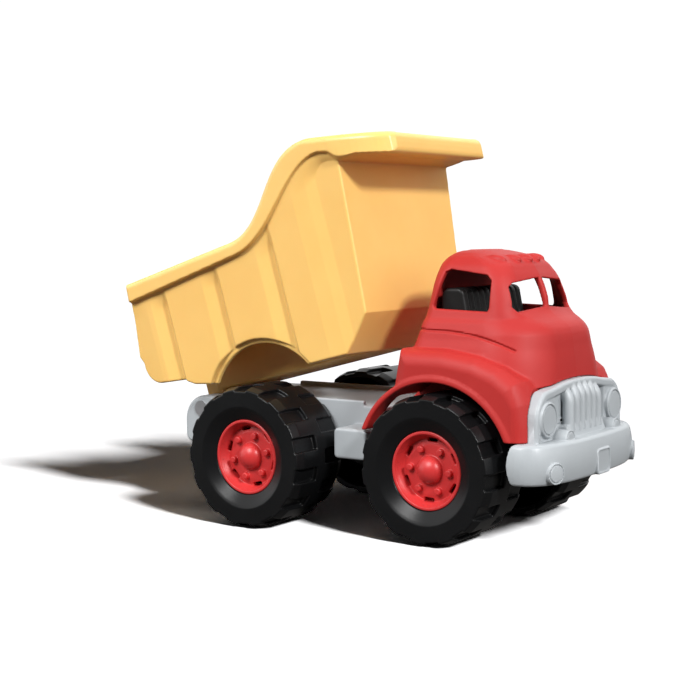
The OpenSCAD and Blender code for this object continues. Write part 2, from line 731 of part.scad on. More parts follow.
chassis_frame();
front_axle_cradle();
rear_axle_cradle();
cradle_screws();
cab_shell();
cab_interior();
steering_wheel();
cab_screws();
bumper_and_grille();
bumper_screws();
dump_bed();
left_hinge_pin();
right_hinge_pin();
front_axle();
rear_axle();
front_left_tyre();
front_right_tyre();
rear_left_tyre();
rear_right_tyre();
front_left_rim();
front_right_rim();
rear_left_rim();
rear_right_rim();
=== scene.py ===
import json
import math

import bpy
import numpy as np
from mathutils import Matrix, Vector

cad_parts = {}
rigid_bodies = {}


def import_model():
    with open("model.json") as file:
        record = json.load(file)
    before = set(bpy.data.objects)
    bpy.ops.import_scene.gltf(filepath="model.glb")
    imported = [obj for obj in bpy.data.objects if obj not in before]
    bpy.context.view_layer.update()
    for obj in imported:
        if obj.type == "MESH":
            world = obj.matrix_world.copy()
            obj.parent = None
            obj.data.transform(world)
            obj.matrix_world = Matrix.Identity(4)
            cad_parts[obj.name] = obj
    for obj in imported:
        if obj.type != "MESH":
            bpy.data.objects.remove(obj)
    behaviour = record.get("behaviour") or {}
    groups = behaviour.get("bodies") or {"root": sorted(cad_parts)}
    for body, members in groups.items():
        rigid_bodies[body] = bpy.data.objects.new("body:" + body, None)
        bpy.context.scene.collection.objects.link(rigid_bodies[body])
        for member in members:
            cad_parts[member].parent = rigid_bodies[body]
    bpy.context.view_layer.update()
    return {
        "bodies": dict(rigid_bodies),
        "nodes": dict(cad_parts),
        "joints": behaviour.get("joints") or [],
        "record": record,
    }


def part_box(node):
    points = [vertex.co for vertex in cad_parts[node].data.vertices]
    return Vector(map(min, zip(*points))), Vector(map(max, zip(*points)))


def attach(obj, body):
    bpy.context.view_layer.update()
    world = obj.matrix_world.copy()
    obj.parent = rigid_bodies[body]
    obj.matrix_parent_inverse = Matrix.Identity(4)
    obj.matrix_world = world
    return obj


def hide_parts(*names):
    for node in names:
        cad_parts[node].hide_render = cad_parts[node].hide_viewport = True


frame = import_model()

# A toy dump truck. Each moulded shell is a signed distance field, sampled on a grid and skinned with
# one vertex per crossed cell. Shapes are in millimetres: x forward from the front axle, y to the
# truck's left and z up from the ground. ALONG is a place in x, R is a radius and HALF_W is a distance
# from the middle plane.

MM = 0.001
JOINTS = {joint["name"]: joint for joint in frame["joints"]}
FRONT_X = JOINTS["front_axle_spin"]["pos_m"][0] / MM
REAR_ALONG = JOINTS["rear_axle_spin"]["pos_m"][0] / MM - FRONT_X
AXLE_Z = JOINTS["front_axle_spin"]["pos_m"][2] / MM
HINGE = Vector(JOINTS["bed_tip"]["pos_m"])
BED_TILT = -math.radians(JOINTS["bed_tip"]["range_deg"][0])


# ---- fields and skins -----------------------------------------------------

TINY = 1e-9
LEAST_SLOPE_SQUARED = 1e-6
SETTLE_STEP = 0.4
BORDER_DISTANCE = 0.5


class Grid:
    """Sample points in a box, in millimetres."""

    def __init__(self, low, high, cell):
        self.cell = cell * 1
        self.low = np.array(low, float)
        counts = np.ceil((np.array(high) - self.low) / self.cell).astype(int) + 1
        axes = [self.low[k] + self.cell * np.arange(counts[k]) for k in range(3)]
        self.x = axes[0].reshape(-1, 1, 1)
        self.y = axes[1].reshape(1, -1, 1)
        self.z = axes[2].reshape(1, 1, -1)
        self.side = np.abs(self.y)
        self.shape = tuple(counts)


def both(a, b, r=0.0):
    """Where both shapes are, with the edge between them rounded to radius r."""
    corner = np.hypot(np.maximum(a + r, 0), np.maximum(b + r, 0))
    return np.minimum(np.maximum(a, b), -r) + corner


def either(a, b, r=0.0):
    """Where one or the other shape is, with a fillet of radius r between them."""
    return -both(-a, -b, r)


def cut(a, b, r=0.0):
    """The first shape without the second."""
    return both(a, -b, r)


def outline(u, v, points):
    """Signed distance to a closed outline, negative inside."""
    nearest = np.inf
    inside = np.zeros(np.broadcast(u, v).shape, bool)
    for (au, av), (bu, bv) in zip(points, points[1:] + points[:1]):
        du, dv = bu - au, bv - av
        share = np.clip(((u - au) * du + (v - av) * dv) / max(du * du + dv * dv, TINY), 0, 1)
        nearest = np.minimum(nearest, (u - au - share * du) ** 2 + (v - av - share * dv) ** 2)
        if dv != 0:
            inside ^= ((av > v) != (bv > v)) & (u < au + du * (v - av) / dv)
    distance = np.sqrt(nearest)
    return np.where(inside, -distance, distance)


def polyline_distance(u, v, points):
    """Distance to an open line through the points."""
    nearest = np.inf
    for (au, av), (bu, bv) in zip(points, points[1:]):
        du, dv = bu - au, bv - av
        share = np.clip(((u - au) * du + (v - av) * dv) / (du * du + dv * dv), 0, 1)
        nearest = np.minimum(nearest, np.hypot(u - au - share * du, v - av - share * dv))
    return nearest


def between(value, low, high):
    """Signed distance to the slab between two planes, negative between them."""
    return abs(value - (low + high) / 2) - (high - low) / 2


def block_field(g, low, high, r=0.4):
    """A box with rounded edges between two opposite corners."""
    sides = [between(axis, a, b) for axis, a, b in zip((g.x, g.y, g.z), low, high)]
    return both(both(sides[0], sides[1], r), sides[2], r)


def bezier(a, b, c, d, steps):
    """Points along a cubic curve."""
    points = []
    for i in range(steps + 1):
        t = i / steps
        weights = ((1 - t) ** 3, 3 * t * (1 - t) ** 2, 3 * t * t * (1 - t), t**3)
        points.append(tuple(sum(w * p[k] for w, p in zip(weights, (a, b, c, d))) for k in (0, 1)))
    return points


def arc(centre, r, start, end, steps):
    """Points along a circle's arc, angles in degrees."""
    angles = [math.radians(start + (end - start) * i / steps) for i in range(steps + 1)]
    return [(centre[0] + r * math.cos(a), centre[1] + r * math.sin(a)) for a in angles]


def ramp(value, start, end):
    """0 before start, 1 after end, straight between."""
    return np.clip((value - start) / (end - start), 0, 1)


def soft_ramp(value, start, end):
    """0 before start, 1 after end, with soft ends."""
    t = ramp(value, start, end)
    return t * t * (3 - 2 * t)


def through(value, places, amounts):
    """A smooth curve through given places, by cubic Hermite pieces."""
    p, a = np.array(places, float), np.array(amounts, float)
    slopes = np.gradient(a, p)
    value = np.clip(value, p[0], p[-1])
    i = np.clip(np.searchsorted(p, value, side="right") - 1, 0, len(p) - 2)
    h = p[i + 1] - p[i]
    t = (value - p[i]) / h
    return (
        (1 + 2 * t) * (1 - t) ** 2 * a[i]
        + t * (1 - t) ** 2 * h * slopes[i]
        + t * t * (3 - 2 * t) * a[i + 1]
        + t * t * (t - 1) * h * slopes[i + 1]
    )


def value_and_slope(field, points):
    """The field and its slope between grid points, by trilinear weights. Points are in grid steps."""
    base = np.clip(np.floor(points).astype(int), 0, np.array(field.shape) - 2)
    share = points - base
    value = 0
    slope = np.zeros_like(points)
    for corner in np.ndindex(2, 2, 2):
        at = field[tuple((base + corner).T)]
        weights = np.where(corner, share, 1 - share)
        value = value + weights.prod(1) * at
        for axis in range(3):
            others = weights[:, (axis + 1) % 3] * weights[:, (axis + 2) % 3]
            slope[:, axis] += others * at * (1 if corner[axis] else -1)
    return value, slope


def settle(field, points, rounds=3):
    """Moves points onto the zero surface along the field's slope."""
    for _ in range(rounds):
        value, slope = value_and_slope(field, points)
        step = -(value / np.maximum((slope**2).sum(1), LEAST_SLOPE_SQUARED))[:, None] * slope
        points = points + np.clip(step, -SETTLE_STEP, SETTLE_STEP)
    return points


def skin(grid, field):
    """Vertices in millimetres and quads of the field's zero surface."""
    inside = field < 0
    cells = np.array(field.shape) - 1
    ids, places, quads = [], [], []
    for axis in range(3):
        lower = [slice(None)] * 3
        upper = [slice(None)] * 3
        lower[axis], upper[axis] = slice(0, -1), slice(1, None)
        starts = np.argwhere(inside[tuple(lower)] != inside[tuple(upper)])
        here = tuple(starts.T)
        a, b = field[tuple(lower)][here], field[tuple(upper)][here]
        place = starts.astype(float)
        place[:, axis] += a / (a - b)
        u, v = (axis + 1) % 3, (axis + 2) % 3
        around = []
        for du, dv in ((0, 0), (-1, 0), (-1, -1), (0, -1)):
            cell = starts.copy()
            cell[:, u] += du
            cell[:, v] += dv
            around.append(np.ravel_multi_index(tuple(cell.T), tuple(cells)))
        quad = np.stack(around, 1)
        outward = a < 0
        quad[~outward] = quad[~outward][:, ::-1]
        quads.append(quad)
        ids.append(np.concatenate(around))
        places.append(np.tile(place, (4, 1)))
    ids, places, quads = np.concatenate(ids), np.concatenate(places), np.concatenate(quads)
    names, index = np.unique(ids, return_inverse=True)
    count = np.bincount(index)
    points = np.stack([np.bincount(index, places[:, k]) / count for k in range(3)], 1)
    return settle(field, points), np.searchsorted(names, quads)


def moulding(name, grid, field, keep, place=None):
    """A smooth-shaded object skinned on a field, thinned to the share of its faces in keep.

    Its shading normals come from the field's slope, and the field is closed at the grid's border.
    place takes it from the grid's axes to the frame; without one it moves to the front axle."""
    field = np.array(np.broadcast_to(field, grid.shape), dtype=np.float32)
    for axis in range(3):
        for end in (0, -1):
            border = [slice(None)] * 3
            border[axis] = end
            field[tuple(border)] = np.maximum(field[tuple(border)], BORDER_DISTANCE)
    points, quads = skin(grid, field)
    mesh = bpy.data.meshes.new(name)
    mesh.from_pydata(points.tolist(), [], quads.tolist())
    piece = bpy.data.objects.new(name, mesh)
    bpy.context.scene.collection.objects.link(piece)
    thin = piece.modifiers.new("thin", "DECIMATE")
    thin.ratio = keep
    graph = bpy.context.evaluated_depsgraph_get()
    piece.data = bpy.data.meshes.new_from_object(piece.evaluated_get(graph))
    piece.modifiers.clear()
    bpy.data.meshes.remove(mesh)
    piece.data.name = name
    points = np.array([vertex.co for vertex in piece.data.vertices])
    slope = value_and_slope(field, points)[1]
    piece.data.transform(Matrix.Translation(grid.low * MM) @ Matrix.Scale(grid.cell * MM, 4))
    piece.data.shade_smooth()
    normals = slope / np.maximum(np.linalg.norm(slope, axis=1), TINY)[:, None]
    piece.data.normals_split_custom_set_from_vertices(normals.tolist())
    piece.data.transform(place or Matrix.Translation((FRONT_X * MM, 0, 0)))
    return piece


# ---- materials ------------------------------------------------------------
# Texture scales are counts per metre, and heights are metres.

FLOW_SCALE = 28.0
FLOW_RANGE = (0.35, 0.75)
GRAIN_SCALE = 1500.0
GRAIN_HEIGHT = 0.00006
SINK_SCALE = 45.0
SINK_HEIGHT = 0.0002
SINK_STRENGTH = 0.25
PLASTIC_GLOSS_SPREAD = (-0.05, 0.07)
GLOW_RADIUS = (1.0, 0.45, 0.2)
GLOW_SCALE = 0.004
DRAWN_SCALE = 900.0
DRAWN_HEIGHT = 0.00003
DRAWN_STRENGTH = 0.2
PATCH_SCALE = 120.0
STEEL_GLOSS_SPREAD = (-0.08, 0.15)


def node(tree, kind, **values):
    """A shader node, with the values of its inputs and settings by name."""
    made = tree.nodes.new(kind)
    for name, value in values.items():
        if name in made.inputs:
            made.inputs[name].default_value = value
        else:
            setattr(made, name, value)
    return made


def noise(tree, scale, detail, roughness=0.5):
    """A noise over the object's own coordinates."""
    made = node(tree, "ShaderNodeTexNoise", Scale=scale, Detail=detail, Roughness=roughness)
    place = node(tree, "ShaderNodeTexCoord").outputs["Object"]
    tree.links.new(place, made.inputs["Vector"])
    return made.outputs["Fac"]


def set_gloss(tree, fac, roughness, spread):
    """Roughness that a noise varies around its middle."""
    gloss = node(tree, "ShaderNodeMapRange")
    gloss.inputs["To Min"].default_value = roughness + spread[0]
    gloss.inputs["To Max"].default_value = roughness + spread[1]
    tree.links.new(fac, gloss.inputs["Value"])
    tree.links.new(gloss.outputs["Result"], tree.nodes["Principled BSDF"].inputs["Roughness"])


def set_tint(tree, fac, color, shade):
    """A colour that a noise mixes with a shade of it."""
    tint = node(tree, "ShaderNodeMix", data_type="RGBA")
    tint.inputs[6].default_value = (*color, 1)
    tint.inputs[7].default_value = (*shade, 1)
    spread = node(tree, "ShaderNodeMapRange")
    spread.inputs["From Min"].default_value = FLOW_RANGE[0]
    spread.inputs["From Max"].default_value = FLOW_RANGE[1]
    tree.links.new(fac, spread.inputs["Value"])
    tree.links.new(spread.outputs["Result"], tint.inputs[0])
    tree.links.new(tint.outputs[2], tree.nodes["Principled BSDF"].inputs["Base Color"])


def new_material(name):
    """A material, its nodes and its shader."""
    material = bpy.data.materials.new(name)
    material.use_nodes = True
    return material, material.node_tree, material.node_tree.nodes["Principled BSDF"]


def plastic(name, color, shade, roughness, grain=0.12, specular=0.5, glow=0.0):
    """Moulded plastic: a faint flow mottling, a fine sparked grain and uneven gloss."""
    material, tree, shader = new_material(name)
    flow = noise(tree, FLOW_SCALE, 3.0, 0.55)
    fine = noise(tree, GRAIN_SCALE, 2.0, 0.6)
    sink = noise(tree, SINK_SCALE, 1.0, 0.4)
    set_tint(tree, flow, color, shade)
    set_gloss(tree, sink, roughness, PLASTIC_GLOSS_SPREAD)
    bump = node(tree, "ShaderNodeBump", Strength=grain, Distance=GRAIN_HEIGHT)
    wave = node(tree, "ShaderNodeBump", Strength=SINK_STRENGTH, Distance=SINK_HEIGHT)
    tree.links.new(sink, wave.inputs["Height"])
    tree.links.new(fine, bump.inputs["Height"])
    tree.links.new(wave.outputs["Normal"], bump.inputs["Normal"])
    tree.links.new(bump.outputs["Normal"], shader.inputs["Normal"])
    shader.inputs["Specular IOR Level"].default_value = specular
    if glow:
        shader.inputs["Subsurface Weight"].default_value = glow
        shader.inputs["Subsurface Radius"].default_value = GLOW_RADIUS
        shader.inputs["Subsurface Scale"].default_value = GLOW_SCALE
    return material


def steel(name, tint, roughness):
    """Drawn steel with fine grain and dull patches."""
    material, tree, shader = new_material(name)
    lines = noise(tree, DRAWN_SCALE, 4.0)
    patch = noise(tree, PATCH_SCALE, 2.0)
    set_gloss(tree, patch, roughness, STEEL_GLOSS_SPREAD)
    bump = node(tree, "ShaderNodeBump", Strength=DRAWN_STRENGTH, Distance=DRAWN_HEIGHT)
    tree.links.new(lines, bump.inputs["Height"])
    tree.links.new(bump.outputs["Normal"], shader.inputs["Normal"])
    shader.inputs["Base Color"].default_value = (*tint, 1)
    shader.inputs["Metallic"].default_value = 1.0
    return material


YELLOW = plastic(
    "bed_yellow", (0.96, 0.59, 0.175), (0.93, 0.55, 0.155), roughness=0.34, specular=0.65, glow=0.1
)
RED = plastic(
    "cab_red", (0.445, 0.024, 0.021), (0.41, 0.021, 0.019), roughness=0.52, specular=0.3, glow=0.04
)
GREY = plastic("trim_grey", (0.42, 0.447, 0.465), (0.40, 0.427, 0.447), roughness=0.40)
BLACK = plastic(
    "tyre_black",
    (0.005, 0.0052, 0.0056),
    (0.007, 0.0072, 0.0078),
    roughness=0.30,
    grain=0.2,
    specular=0.22,
)
CHARCOAL = plastic(
    "seat_charcoal",
    (0.006, 0.0057, 0.0055),
    (0.009, 0.0085, 0.008),
    roughness=0.42,
    grain=0.3,
    specular=0.3,
)
RIM_RED = plastic("rim_red", (0.58, 0.034, 0.034), (0.53, 0.028, 0.029), roughness=0.36, glow=0.06)
STEEL = steel("steel", (0.60, 0.60, 0.62), roughness=0.32)


def dress(piece, material, body, slot, *nodes):
    """Gives a piece its material and its body, and hides the nodes that it stands for. Its slot is not
    used.
    """
    piece.data.materials.clear()
    piece.data.materials.append(material)
    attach(piece, body)
    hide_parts(*nodes)


# ---- dump bed -------------------------------------------------------------
# Drawn level, with its bottom on the deck, then tipped about the hinge. Its pads are the panels on
# its sides: each slopes in to a crease and steps out ahead of it, and they stop at the wheel well.

BED_LOW = 68.6
BED_FLOOR = 94.8
BED_WALL = 2.8
PAD_LOW_HALF_W = 54.5
PAD_DRAFT = 0.053
PAD_DEPTH = 2.6
CREASES = (-172.0, -129.0, -85.0)
CREASE_RUN = 11.0
CREASE_STEP = 2.6
FRONT_FACETS = ((-62, -52, -43, -34), (0, 0.45, 1.15, 2.0))
FRONT_TAPER = 3.2
FRONT_TAPER_RUN = (-62, -34)
TAIL_BEND = -187.0
TAIL_BEND_RUN = 14.0
TAIL_SHARE = 0.5
RIM_SHARE = 0.25
RIM_FADE = (1, 11)
WELL = (-115.5, 46.5)
WELL_R = 44.0
WELL_LEDGE = 2.7
BOX_HALF_W = 31.0
BOX_DRAFT = 0.15
LIP_FILLET = 8.0
LIP_FILLET_RUN = (-34, -25)
BED_EDGE_R = 1.0
PAD_EDGE_R = 0.8
RIM_EDGE_R = 3.6
RIM_UNDER_R = 0.7
HOPPER_CORNER_R = 5.0
TROUGH_CORNER_R = 3.0
BOX_CORNER_R = 2.0
OPENING_EDGE_R = 1.2
HINGE_ALONG, HINGE_Z = HINGE.x / MM - FRONT_X, HINGE.z / MM
LUG_R = 6.5
LUG_HOLE_R = 3.08
LUG_MIDDLE = 23.75
LUG_HALF_W = 3.25
CATCH = ((-62, -8, BED_LOW - 0.4), (-56, 8, BED_LOW + 3))
BED_GRID = ((-206, -63, 52), (8, 63, 195), 0.8)

RIM_TOP = (
    [(-198, 143.5)]
    + bezier((-112, 147.8), (-82, 149.3), (-78, 192), (-44, 189.4), 20)
    + [(4.8, 179.6)]
)
RIM_LOW = (
    [(-198.3, 132)]
    + bezier((-108, 139.8), (-80, 142.5), (-62, 180), (-38, 179.5), 20)
    + [(2.3, 170.1)]
)
TAIL = [(-203.3, 99)] + arc((-188.5, 92.5), 12.5, 172, 262, 8) + [(-172, 78.4)]
BED_SIDE = (
    RIM_TOP
    + [(2.3, 170.1), (-15, 174.1), (-27.5, 172), (-33.9, 88.1), (-52, BED_LOW), (-78, BED_LOW)]
    + arc(WELL, WELL_R - WELL_LEDGE, 32.4, 143.6, 20)
    + [(-156, 72.6), (-164, 74.2)]
    + TAIL[::-1]
    + [(-198.3, 132)]
)
UNDER_TOP = RIM_TOP + [(60, 168.5), (60, 0), (-240, 0), (-240, 141.3)]
ABOVE_RIM_LOW = RIM_LOW + [(40, 170.1), (40, 240), (-240, 240), (-240, 129)]
UNDERSIDE = [
    (-180, BED_FLOOR - BED_WALL),
    (-36, BED_FLOOR - BED_WALL),
    (-36.6, 88.9),
    (-55, BED_LOW - 0.4),
    (-55, 50),
    (-230, 50),
    (-230, 108.3),
]
HOPPER = (
    [(x, z + 4) for x, z in RIM_TOP]
    + [(1.8, 174), (-20, 178.6), (-28, 177.5), (-30.8, 171), (-36.9, 91.5)]
    + [(-37, BED_FLOOR), (-178, BED_FLOOR), (-203, 102), (-216, 106), (-216, 147)]
)
TROUGH = [
    (-168, BED_FLOOR + 3),
    (-166, BED_LOW + BED_WALL),
    (-54.5, BED_LOW + BED_WALL),
    (-38.5, 88.5),
    (-38, BED_FLOOR + 3),
]
BED_BOX = [
    (-170.4, BED_FLOOR - 1),
    (-171.5, BED_LOW),
    (-53.5, BED_LOW),
    (-35.5, 88),
    (-35.5, BED_FLOOR - 1),
]
LUG = [(-166, BED_LOW + 1), (-180, 84)] + arc((HINGE_ALONG, HINGE_Z), LUG_R, 160, 350, 14)
RIM_PLAN = (
    [(-240, -90), (-240, 61.5)]
    + bezier((-40, 61.5), (-22, 61.5), (-8, 58), (0, 52), 10)
    + [(3.2, 49.5), (4.8, 46), (4.8, -90)]
)
LIP_OPENING = (
    [(-260, -90), (-260, 53)]
    + bezier((-44, 53), (-26, 53), (-12, 50), (-4, 46), 10)
    + [(0.4, 43), (1.8, 40), (1.8, -90)]
)


def panel_depth(g, under_rim):
    """How far in the side panels slope, as a share of the pads' depth, less so under the rim."""
    depth = np.interp(g.x, *FRONT_FACETS)
    depth = depth + ramp(g.x, TAIL_BEND, TAIL_BEND - TAIL_BEND_RUN) * TAIL_SHARE
    for crease in CREASES:
        rise = ramp(g.x, crease - CREASE_RUN, crease)
        depth = np.maximum(depth, np.minimum(rise, 1 - ramp(g.x, crease, crease + CREASE_STEP)))
    return depth * (RIM_SHARE + (1 - RIM_SHARE) * soft_ramp(under_rim, *RIM_FADE))


def bed_field(g):
    """Creased panels over a floor box, a flared rim and lip, an open hopper and hinge lugs."""
    silhouette = outline(g.x, g.z, BED_SIDE)
    under_rim = outline(g.x, g.z, ABOVE_RIM_LOW)
    rim_plan = outline(g.x, g.side, RIM_PLAN)
    pad_w = PAD_LOW_HALF_W + PAD_DRAFT * (g.z - BED_LOW)
    base_w = pad_w - PAD_DEPTH
    inner_w = base_w - BED_WALL - FRONT_TAPER * ramp(g.x, *FRONT_TAPER_RUN)
    box_w = BOX_HALF_W - BOX_DRAFT * (BED_FLOOR - g.z)
    off_well = WELL_R - np.hypot(g.x - WELL[0], g.z - WELL[1])
    pad = both(g.side - (pad_w - PAD_DEPTH * panel_depth(g, under_rim)), off_well, PAD_EDGE_R)
    shell = both(silhouette, np.minimum(g.side - base_w, pad), BED_EDGE_R)
    shell = cut(shell, both(outline(g.x, g.z, UNDERSIDE), g.side - inner_w, BOX_CORNER_R), r=0.6)
    shell = either(shell, both(outline(g.x, g.z, BED_BOX), g.side - box_w, BOX_CORNER_R), r=1.5)
    rim = both(both(silhouette, rim_plan, RIM_EDGE_R), under_rim, RIM_UNDER_R)
    shell = either(shell, rim, RIM_UNDER_R + LIP_FILLET * soft_ramp(g.x, *LIP_FILLET_RUN))
    shell = both(shell, both(outline(g.x, g.z, UNDER_TOP), rim_plan, RIM_EDGE_R), r=0.2)
    hopper = both(outline(g.x, g.z, HOPPER), g.side - inner_w, HOPPER_CORNER_R)
    hopper = both(hopper, outline(g.x, g.side, LIP_OPENING), BOX_CORNER_R)
    trough = both(outline(g.x, g.z, TROUGH), g.side - box_w + BED_WALL, TROUGH_CORNER_R)
    shell = cut(shell, np.minimum(hopper, trough), OPENING_EDGE_R)
    lug = both(outline(g.x, g.z, LUG), abs(g.side - LUG_MIDDLE) - LUG_HALF_W, r=0.6)
    shell = np.minimum(either(shell, lug, BED_EDGE_R), block_field(g, *CATCH))
    return cut(shell, np.hypot(g.x - HINGE_ALONG, g.z - HINGE_Z) - LUG_HOLE_R, r=0.2)


def make_bed():
    g = Grid(*BED_GRID)
    tip = Matrix.Translation(HINGE) @ Matrix.Rotation(-BED_TILT, 4, "Y") @ Matrix.Translation(-HINGE)
    place = tip @ Matrix.Translation((FRONT_X * MM, 0, 0))
    bed = moulding("dump_bed_shell", g, bed_field(g), keep=0.13, place=place)
    dress(bed, YELLOW, "bed", "bed_plastic", "dump_bed")


# ---- wheels ---------------------------------------------------------------
# A wheel is drawn with its axis on Z and its outer face at Z = 0.

TYRE_R = 40.0
TYRE_W = 43.0
TYRE_FACE_R = 38.2
LUGS = 14
LUG_GAP = 8.0
LUG_GAP_DEPTH = 2.6
LUG_REACH = 18.0
LUG_GAP_CORNER_R = 0.8
LUG_GAP_END_R = 1.0
LUG_EDGE_R = 0.7
TYRE_SECTION = [
    (19, -39.2), (22, -39.2), (22, -7), (34.5, -7), (34.5, -TYRE_W), (TYRE_FACE_R, -TYRE_W),
    (TYRE_R, -37.6), (TYRE_R, -5.4), (TYRE_FACE_R, 0), (28.6, 0), (27, -0.7), (21.3, -3.8),
    (21.3, -6), (19, -6),
]
RIM_SECTION = [
    (-1, -8.8), (13.4, -8.8), (16.8, -9.4), (19.2, -4.8), (19.5, -3.8), (20.8, -3.8), (21.25, -4.3),
    (21.25, -5.95), (18.95, -6.05), (18.95, -36.2), (16.2, -36.2), (16.2, -11.8), (7, -11.8),
    (7, -36.2), (-1, -36.2),
]
DISH = -8.8
DOME_R = 7.6
DOME_H = 6.2
BOLTS = 6
BOLT_CIRCLE = 12.0
BOLT_R = 1.9
BOLT_H = 2.6
SLOT_CIRCLE = 16.1
SLOT_HALF = (1.1, 3.0)
SLOT_DEPTH = 4.0
SLOT_CORNER_R = 0.7
RIM_BACK = -35.2
RIM_BACK_R = 17.0
DOME_FILLET = 0.5
AXLE_R = 3.0
AXLE_END = -14.0
FRONT_PHASE = math.radians(-4)
REAR_PHASE = math.radians(14)
SHEET_STEP = 0.25
TYRE_GRID = ((-40.6, -40.6, -43.6), (40.6, 40.6, 0.6), 0.6)
RIM_GRID = ((-21.8, -21.8, -36.8), (21.8, 21.8, -2), 0.36)


def turned(g, count, shift=0.0):
    """Radius, and the angle from the nearest of some spokes."""
    pitch = 2 * math.pi / count
    angle = np.arctan2(g.y, g.x) - shift * pitch
    return np.hypot(g.x, g.y), (angle + pitch / 2) % pitch - pitch / 2


def section(r, z, points):
    """Signed distance to a turned section: its outline is sampled once on a radius-height sheet."""
    sheet_r = np.arange(0, r.max() + 1, SHEET_STEP)
    sheet = outline(sheet_r[:, None], z.reshape(1, -1), points)
    place = r[:, :, 0] / SHEET_STEP
    low = place.astype(int)
    share = (place - low)[:, :, None]
    return sheet[low] * (1 - share) + sheet[low + 1] * share


def tyre_field(g):
    """A hollow-backed tyre with two staggered rows of gaps between its tread blocks."""
    r, _ = turned(g, LUGS)
    tyre = section(r, g.z, TYRE_SECTION)
    rows = (-LUG_REACH - g.z, g.z + TYRE_W - LUG_REACH)
    for row, along in enumerate(rows):
        _, angle = turned(g, LUGS, row / 2)
        across = abs(angle) * r - LUG_GAP / 2
        gap = both(across, TYRE_R - LUG_GAP_DEPTH - r, LUG_GAP_CORNER_R)
        tyre = cut(tyre, both(gap, along, LUG_GAP_END_R), LUG_EDGE_R)
    return tyre


def rim_field(g):
    """A dished rim with a middle dome, bolt heads, slots between them and a closed back."""
    r, angle = turned(g, BOLTS)
    off_dish = abs(g.z - DISH)
    rim = section(r, g.z, RIM_SECTION)
    dome = (np.hypot(r, (g.z - DISH) * DOME_R / DOME_H) - DOME_R) * DOME_H / DOME_R
    rim = either(rim, both(dome, DISH - 1 - g.z), DOME_FILLET)
    from_bolt = np.hypot(r * np.cos(angle) - BOLT_CIRCLE, r * np.sin(angle))
    rim = either(rim, both(from_bolt - BOLT_R, off_dish - BOLT_H, r=0.6), r=0.3)
    _, angle = turned(g, BOLTS, 0.5)
    out = abs(r * np.cos(angle) - SLOT_CIRCLE) - SLOT_HALF[0]
    across = abs(r * np.sin(angle)) - SLOT_HALF[1]
    slot = both(both(out, across, SLOT_CORNER_R), off_dish - SLOT_DEPTH)
    rim = cut(rim, slot, r=0.4)
    rim = np.minimum(rim, both(r - RIM_BACK_R, abs(g.z - RIM_BACK) - 1))
    return cut(rim, both(r - AXLE_R, g.z - AXLE_END), r=0.2)


def wheel_place(along, half_track, side, phase):
    """From a wheel's own axes to the frame: its outer face looks to the given side."""
    turn = Matrix.Rotation(-phase, 4, "Y")
    stand = Matrix(((1, 0, 0, 0), (0, 0, -1, 0), (0, 1, 0, 0), (0, 0, 0, 1)))
    flip = Matrix.Rotation(math.pi, 4, "Z") if side > 0 else Matrix.Identity(4)
    spot = Vector((FRONT_X + along, side * half_track, AXLE_Z)) * MM
    return Matrix.Translation(spot) @ turn @ flip @ stand


def make_wheels():
    g = Grid(*TYRE_GRID)
    tyre = moulding("wheel_tyre", g, tyre_field(g), keep=0.2, place=Matrix.Identity(4))
    g = Grid(*RIM_GRID)
    rim = moulding("wheel_rim", g, rim_field(g), keep=0.2, place=Matrix.Identity(4))
    axles = (("front", 0.0, FRONT_PHASE), ("rear", REAR_ALONG, REAR_PHASE))
    for end, along, phase in axles:
        for hand, side in (("left", 1), ("right", -1)):
            node_name = f"{end}_{hand}_tyre"
            half_track = max(abs(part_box(node_name)[0].y), abs(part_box(node_name)[1].y)) / MM
            for pattern, kind, material in ((tyre, "tyre", BLACK), (rim, "rim", RIM_RED)):
                piece = bpy.data.objects.new(f"{end}_{hand}_{kind}_moulded", pattern.data.copy())
                bpy.context.scene.collection.objects.link(piece)
                piece.data.transform(wheel_place(along, half_track, side, phase))
                dress(piece, material, f"{end}_wheels", f"{kind}_plastic", f"{end}_{hand}_{kind}")
    for pattern in (tyre, rim):
        bpy.data.objects.remove(pattern)


# ---- cab ------------------------------------------------------------------
# Rows through the upper cab: height, back, front, half width, back and front corner radii, bow.

CAB_ROWS = (
    (57, -25, 54.5, 50, 8, 26, 1.5),
    (84, -25, 54.5, 50, 8, 28, 1.5),
    (98, -22.5, 53, 49, 8, 30, 1.5),
    (104, -21, 52, 47.5, 8, 30, 1.6),
    (108, -20, 51.5, 46, 8, 29, 1.6),
    (111.5, -19.2, 50.5, 45, 8, 28, 1.7),
    (114.5, -18.3, 48.5, 43.8, 7, 27, 2),
    (116.8, -17.8, 45.5, 42.8, 7, 25, 2.4),
    (119.2, -17.2, 40.5, 41.2, 7, 19, 3),
    (122, -16.8, 36.3, 40, 7, 13, 3.8),
    (130, -15.6, 34.2, 38, 7, 12, 3.6),
    (138, -14.6, 31.6, 36, 7, 12, 3.4),
    (144, -13.9, 28.6, 33.6, 8, 12, 3),
    (149, -13.2, 24.5, 30, 9, 12, 2.6),
    (152.5, -11.5, 17, 25, 10, 12, 2),
    (154.6, -9, 9, 18, 8, 8, 1),
    (156.2, -3, 4, 8, 3, 3, 0),
)
CAB_TOP = 155.4
CAB_WALL = 2.5
FENDER_HALF_W = 58.0
FENDER_SIDE = [
    (-37, 40), (-31, 64), (-23.5, 103), (4, 103), (24, 100), (38, 95), (48, 88), (54.5, 78),
    (57.5, 66), (57.5, 40),
]
FENDER_PLAN = (
    [(-37, -90), (-37, FENDER_HALF_W), (38, FENDER_HALF_W)]
    + arc((44.5, 45), 13, 80, 0, 8)
    + [(57.5, -90)]
)
FENDER_EDGE_R = 9.0
FENDER_FILLET = 1.2
ARCH_R = 46.0
ARCH_LIP = 3.2
ARCH_LIP_MIDDLE = 52.5
ARCH_LIP_HALF_W = 6.1
